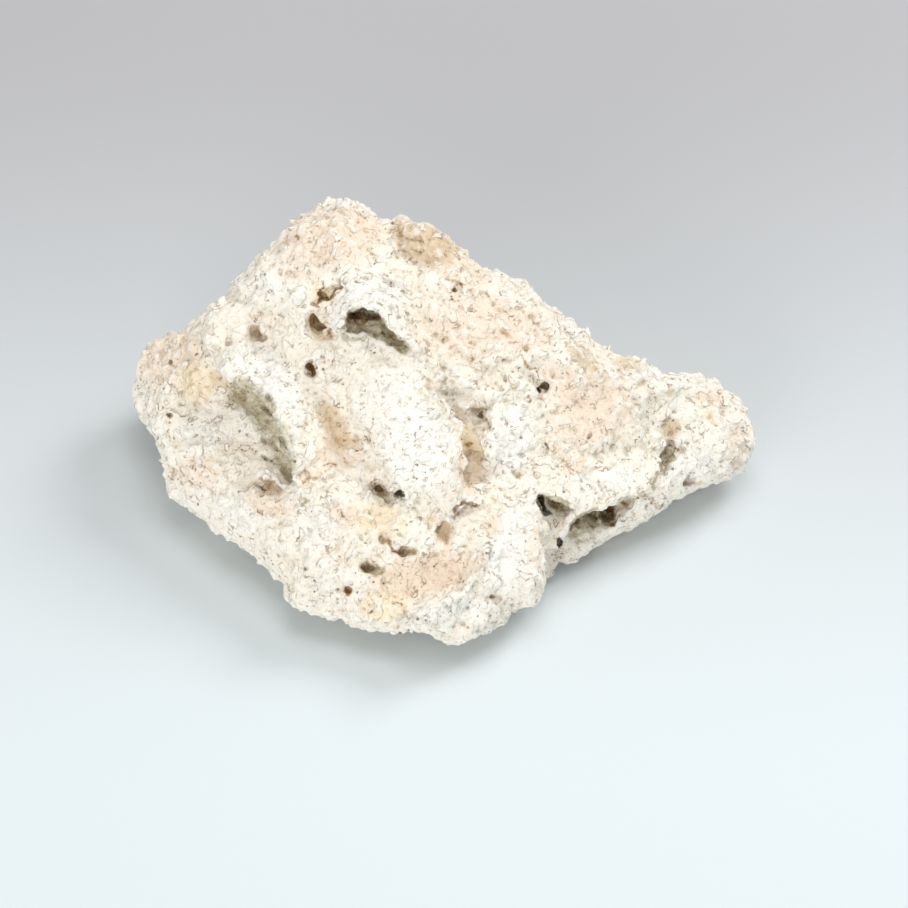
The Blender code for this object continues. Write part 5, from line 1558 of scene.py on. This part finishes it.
@dataclass(frozen=True)
class DryLimestone:
    """Matt, dry limestone: chalky knobs with painted highlight, warm stains, flakes, pores, and dirt with
    painted shade in what is sheltered, in creases and at the feet of flakes.

    Sizes and heights are in millimetres. A wander is how wide its lumps are and how far they reach; a
    crumb, grit or dust is how wide its grains are and how high they stand.
    """

    base: tuple = linear(252, 246, 234)
    chalk: tuple = linear(253, 251, 245)
    peach: tuple = linear(248, 230, 210)
    yellow: tuple = linear(253, 236, 204)
    tan: tuple = linear(218, 190, 150)
    # Olive is partly a stain and partly painted shade, grey-green like the shaded wall of the scoop.
    olive: tuple = linear(170, 158, 116)
    rust: tuple = linear(190, 138, 76)
    # Brown is partly a stain and partly painted shade under the tops of hollows and pits.
    brown: tuple = linear(124, 84, 38)
    # Painted shade: black for the deepest holes and slots.
    black: tuple = linear(16, 10, 6)
    # Painted shade: the colour laid in creases, low places and the hollows of the grain.
    crease: tuple = linear(178, 154, 122)
    # Painted shade: the dark colour laid along the feet of the flakes.
    foot: tuple = linear(140, 106, 70)
    # Dirt and painted shade: the colour laid where the stone is sheltered.
    dirt_and_shade: tuple = linear(160, 130, 80)
    # Painted shade: the dark colour of the pores.
    pore_shade: tuple = linear(118, 96, 64)
    roughness: float = 0.93
    broad_size: float = 9.0
    mottle_size: float = 2.2
    fine_size: float = 0.6
    flake_sizes: tuple = ((3.4, 3.4, 0.3, 0.5), (1.6, 2.6, 0.16, 0.55))
    flake_patch: float = 2.5
    flake_wander: tuple[float, float] = (1.2, 0.14)
    pore_sizes: tuple[tuple[float, float], ...] = ((1.7, 0.4), (0.9, 0.25))
    pore_patch: float = 5.0
    pore_wander: tuple[float, float] = (0.4, 0.16)
    grain_wander: tuple[float, float] = (1.1, 0.55)
    crumb: tuple[float, float] = (1.0, 0.28)
    grit: tuple[float, float] = (0.45, 0.12)
    dust: tuple[float, float] = (0.5, 0.3)
    foot_shade_share: float = 0.7
    dirt_and_shade_share: float = 0.75
    pore_shade_share: float = 0.8
    foot_depth: float = 0.12
    pore_depth: float = 0.25
    bump_strength: float = 0.8

    def colour(
        self, graph: Graph, place: bpy.types.NodeSocket, pores: Value, feet: Value, relief: Value
    ) -> bpy.types.NodeSocket:
        """The stone's colour, with painted shade and painted highlight in it.

        Args:
            graph: The material's tree.
            place: Where on the stone.
            pores: Where the pores are, 0 to 1, which get painted shade.
            feet: Where the feet of the flakes are, 0 to 1, which get painted shade.
            relief: The finest relief, in millimetres.

        Returns:
            The colour's socket.
        """
        broad = graph.noise(place, self.broad_size * MM)
        mottle = graph.noise(place, self.mottle_size * MM, 4.0, 0.65)
        fine = graph.noise(place, self.fine_size * MM, 3.0, 0.6)
        ragged = (mottle - 0.5) * 1.3 + (fine - 0.5) * 0.9
        shelter, forms = graph.attribute("sheltered"), graph.attribute("relief")
        made = graph.blend(graph.ramp(broad + ragged * 0.5, 0.4, 0.75) * 0.4, self.base, self.peach)
        shades = {
            PEACH: (self.peach, 0.9, 0.15, 0.95),
            YELLOW: (self.yellow, 0.8, 0.15, 0.95),
            TAN: (self.tan, 0.75, 0.2, 0.95),
            CHALK: (self.chalk, 0.85, 0.15, 0.95),
            OLIVE: (self.olive, 0.75, 0.25, 0.9),
            RUST: (self.rust, 0.9, 0.3, 0.7),
            BROWN: (self.brown, 0.95, 0.25, 0.95),
            BLACK: (self.black, 1.0, 0.3, 0.9),
        }
        # Chalk and painted highlight: raised places are whitened, more the higher they stand.
        knob = graph.ramp(forms + ragged * 0.12, 0.05, 0.4)
        for stain, (shade, strength, low, high) in shades.items():
            mask = graph.ramp(graph.attribute(stain.value) + ragged * 0.35, low, high) * strength
            if stain is CHALK:
                mask = graph.maths("MAXIMUM", mask, knob * 0.6)
            if stain in (OLIVE, RUST, BROWN):
                mask = mask * (graph.ramp(mottle + (fine - 0.5), 0.2, 0.6) * 0.5 + 0.5)
            made = graph.blend(mask, made, shade)
        # Painted shade: the crease colour darkens low places, fine nooks and the hollows of the grain.
        low = graph.ramp(0.0 - forms + ragged * 0.15, 0.15, 0.6) * 0.3
        nook_shade = graph.ramp(0.0 - graph.attribute("fine relief") + (fine - 0.5) * 0.08, 0.05, 0.11) * 0.55
        cut = graph.ramp(0.0 - relief, 0.06, 0.2) * 0.4
        for share in (graph.maths("MAXIMUM", low, nook_shade), cut):
            made = graph.blend(share, made, self.crease)
        # Painted shade along the feet of the flakes.
        made = graph.blend(feet * self.foot_shade_share, made, self.foot)
        # Dirt and painted shade: the dirt colour darkens what is sheltered.
        dirt_and_shade_mask = graph.ramp(shelter + ragged * 0.3, 0.4, 1.0) * self.dirt_and_shade_share
        made = graph.blend(dirt_and_shade_mask, made, self.dirt_and_shade)
        # Painted shade in the pores.
        return graph.blend(pores * self.pore_shade_share, made, self.pore_shade)

    def flakes(self, graph: Graph, place: bpy.types.NodeSocket) -> tuple[Value, Value]:
        """Thin flakes that overlap, each with a raised edge.

        Args:
            graph: The material's tree.
            place: Where on the stone.

        Returns:
            How high the flakes stand, in millimetres, and where their feet are, 0 to 1.
        """
        crumpled = graph.warped(place, *(size * MM for size in self.flake_wander))
        heights, feet = [], []
        for cell, steps, rise, share in self.flake_sizes:
            level = graph.noise(crumpled, cell * MM, 2.0, 0.5) * steps + graph.attribute("relief") * 1.2
            part = graph.maths("FRACT", level)
            heights.append((level - part + graph.ramp(part, 0.0, 0.2)) * rise)
            edge = graph.maths("MINIMUM", part, 1.0 - part)
            broken = graph.ramp(graph.noise(place, 0.7 * cell * MM, 2.0), share, share + 0.07)
            feet.append((1.0 - graph.ramp(edge, 0.04, 0.15)) * broken)
        crowded = graph.ramp(graph.noise(place, self.flake_patch * MM, 3.0), 0.42, 0.66) * 0.85 + 0.15
        return sum(heights[1:], heights[0]), graph.maths("MAXIMUM", *feet) * crowded

    def pores(self, graph: Graph, place: bpy.types.NodeSocket) -> Value:
        """Tiny holes: one in some of the cells of two sizes.

        Args:
            graph: The material's tree.
            place: Where on the stone.

        Returns:
            1 in a pore, 0 outside.
        """
        crumpled = graph.warped(place, *(size * MM for size in self.pore_wander))
        found = []
        for cell, share in self.pore_sizes:
            node = graph.cells(crumpled, cell * MM)
            far = Value(graph, node.outputs["Distance"])
            parts = graph.add("ShaderNodeSeparateColor", None, {0: node.outputs["Color"]})
            pick = Value(graph, parts.outputs[0])
            size = graph.ramp(pick, 1.0 - share, 1.0) * 0.2
            found.append(graph.ramp(size - far, -0.02, 0.04) * graph.ramp(pick, 1.0 - share, 1.02 - share))
        grouped = graph.ramp(graph.noise(place, self.pore_patch * MM), 0.4, 0.55)
        return graph.maths("MAXIMUM", *found) * grouped

    def grain(self, graph: Graph, place: bpy.types.NodeSocket) -> Value:
        """The grain of the stone.

        Args:
            graph: The material's tree.
            place: Where on the stone.

        Returns:
            The height, in millimetres, about half below and half above the surface.
        """
        crumpled = graph.warped(place, *(size * MM for size in self.grain_wander))
        (crumb, crumb_high), (grit, grit_high), (dust, dust_high) = self.crumb, self.grit, self.dust
        crumbs = Value(graph, graph.cells(crumpled, crumb * MM).outputs["Distance"])
        grains = Value(graph, graph.cells(crumpled, grit * MM).outputs["Distance"])
        rough = graph.noise(place, dust * MM, 4.0, 0.7)
        return (0.5 - crumbs) * crumb_high + (0.5 - grains) * grit_high + (rough - 0.5) * dust_high

    def material(self) -> bpy.types.Material:
        """The finish as a material.

        Returns:
            The material.
        """
        made = bpy.data.materials.new("dry_limestone")
        made.use_nodes = True
        graph = Graph(made.node_tree)
        place = graph.add("ShaderNodeTexCoord").outputs["Object"]
        pores, grain = self.pores(graph, place), self.grain(graph, place)
        flakes, feet = self.flakes(graph, place)
        height = grain + flakes - pores * self.pore_depth - feet * self.foot_depth
        raised = {"Height": height, "Distance": MM, "Strength": self.bump_strength}
        bump = graph.add("ShaderNodeBump", None, raised)
        surface = graph.add(
            "ShaderNodeBsdfPrincipled",
            None,
            {
                "Base Color": self.colour(graph, place, pores, feet, grain),
                "Roughness": self.roughness,
                "Normal": bump.outputs[0],
            },
        )
        graph.add("ShaderNodeOutputMaterial", None, {"Surface": surface.outputs[0]})
        return made


# ---------------------------------------------------------------- the studio


@dataclass(frozen=True)
class Lamp:
    """A square lamp: the way to it from the rock, how far off it hangs, its side and its power in watts."""

    name: str
    way: tuple[float, float, float]
    distance: float
    size: float
    power: float


@dataclass(frozen=True)
class Studio:
    """A pale floor, soft light from above, behind and in front, and a camera square on to the face."""

    face: FaceFrame = field(default_factory=FaceFrame)
    lens: float = 200.0
    sensor: float = 36.0
    frame_width: float = 0.1816
    floor_size: float = 6.0
    # Painted light: the floor is paler near the camera and darker further back.
    near_floor: tuple = linear(219, 228, 232)
    far_floor: tuple = linear(180, 180, 184)
    painted_falloff: tuple[float, float] = (-0.08, 0.14)
    lamps: tuple[Lamp, ...] = (
        Lamp("overhead", (0.05, 0.05, 1.0), 1.1, 0.55, 3.6),
        Lamp("back right", (0.6, 0.4, 0.7), 1.1, 0.45, 5.8),
        Lamp("front", (-0.43, -0.84, 0.25), 1.3, 1.0, 10.2),
    )
    room_colour: tuple[float, float, float, float] = (1.0, 0.995, 0.95, 1.0)
    room_strength: float = 0.46

    def floor_paper(self) -> bpy.types.Material:
        """Plain paper, with painted light: paler near the camera, darker further back.

        Returns:
            The paper's material.
        """
        made = bpy.data.materials.new("floor_paper")
        made.use_nodes = True
        graph = Graph(made.node_tree)
        place = graph.add("ShaderNodeTexCoord").outputs["Object"]
        back = Value(graph, graph.add("ShaderNodeSeparateXYZ", None, {0: place}).outputs[1])
        share = graph.ramp(back, *self.painted_falloff)
        colour = graph.blend(share, self.near_floor, self.far_floor)
        surface = graph.add("ShaderNodeBsdfPrincipled", None, {"Base Color": colour, "Roughness": 0.8})
        graph.add("ShaderNodeOutputMaterial", None, {"Surface": surface.outputs[0]})
        return made

    def floor(self) -> bpy.types.Object:
        """The floor under the rock.

        Returns:
            The floor's object.
        """
        bm = bmesh.new()
        bmesh.ops.create_grid(bm, x_segments=1, y_segments=1, size=self.floor_size / 2)
        mesh = bpy.data.meshes.new("floor")
        bm.to_mesh(mesh)
        bm.free()
        mesh.materials.append(self.floor_paper())
        made = Mesh("floor", mesh).obj
        return made

    def hang(self, lamp: Lamp) -> None:
        """Hangs a lamp that shines at the rock.

        Args:
            lamp: The lamp.
        """
        data = bpy.data.lights.new(lamp.name, "AREA")
        data.size = lamp.size
        data.energy = lamp.power
        made = bpy.data.objects.new(lamp.name, data)
        bpy.context.scene.collection.objects.link(made)
        direction = Vector(lamp.way).normalized()
        made.location = Vector(self.face.middle) + direction * lamp.distance
        made.rotation_euler = direction.to_track_quat("Z", "Y").to_euler()

    def surroundings(self) -> None:
        """The even light of a white room."""
        world = bpy.data.worlds.new("white_room")
        world.use_nodes = True
        graph = Graph(world.node_tree)
        inputs = {"Color": self.room_colour, "Strength": self.room_strength}
        light = graph.add("ShaderNodeBackground", None, inputs)
        graph.add("ShaderNodeOutputWorld", None, {"Surface": light.outputs[0]})
        bpy.context.scene.world = world

    def camera(self) -> None:
        """Looks square on to the rock's face."""
        data = bpy.data.cameras.new("camera")
        data.lens = self.lens
        data.sensor_width = self.sensor
        distance = self.frame_width * self.lens / self.sensor
        made = bpy.data.objects.new("camera", data)
        bpy.context.scene.collection.objects.link(made)
        outward = self.face.outward()
        made.location = Vector(self.face.middle) + outward * distance
        made.rotation_euler = outward.to_track_quat("Z", "Y").to_euler()
        bpy.context.scene.camera = made

    def build(self) -> None:
        """Sets the studio up."""
        scene = bpy.context.scene
        scene.view_settings.view_transform = "Standard"
        scene.view_settings.look = "None"
        self.floor()
        for lamp in self.lamps:
            self.hang(lamp)
        self.surroundings()
        self.camera()
        log.info("studio: floor, %d lamps, camera", len(self.lamps))


def main() -> None:
    """Builds the rock and the studio in order."""
    logging.basicConfig(level=logging.INFO, format="%(message)s")
    material = DryLimestone().material()
    rock = WeatheredRock().build(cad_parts[NODE_NAME], material)
    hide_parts(NODE_NAME)
    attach(rock, "root")
    Studio().build()


if __name__ == "__main__":
    main()
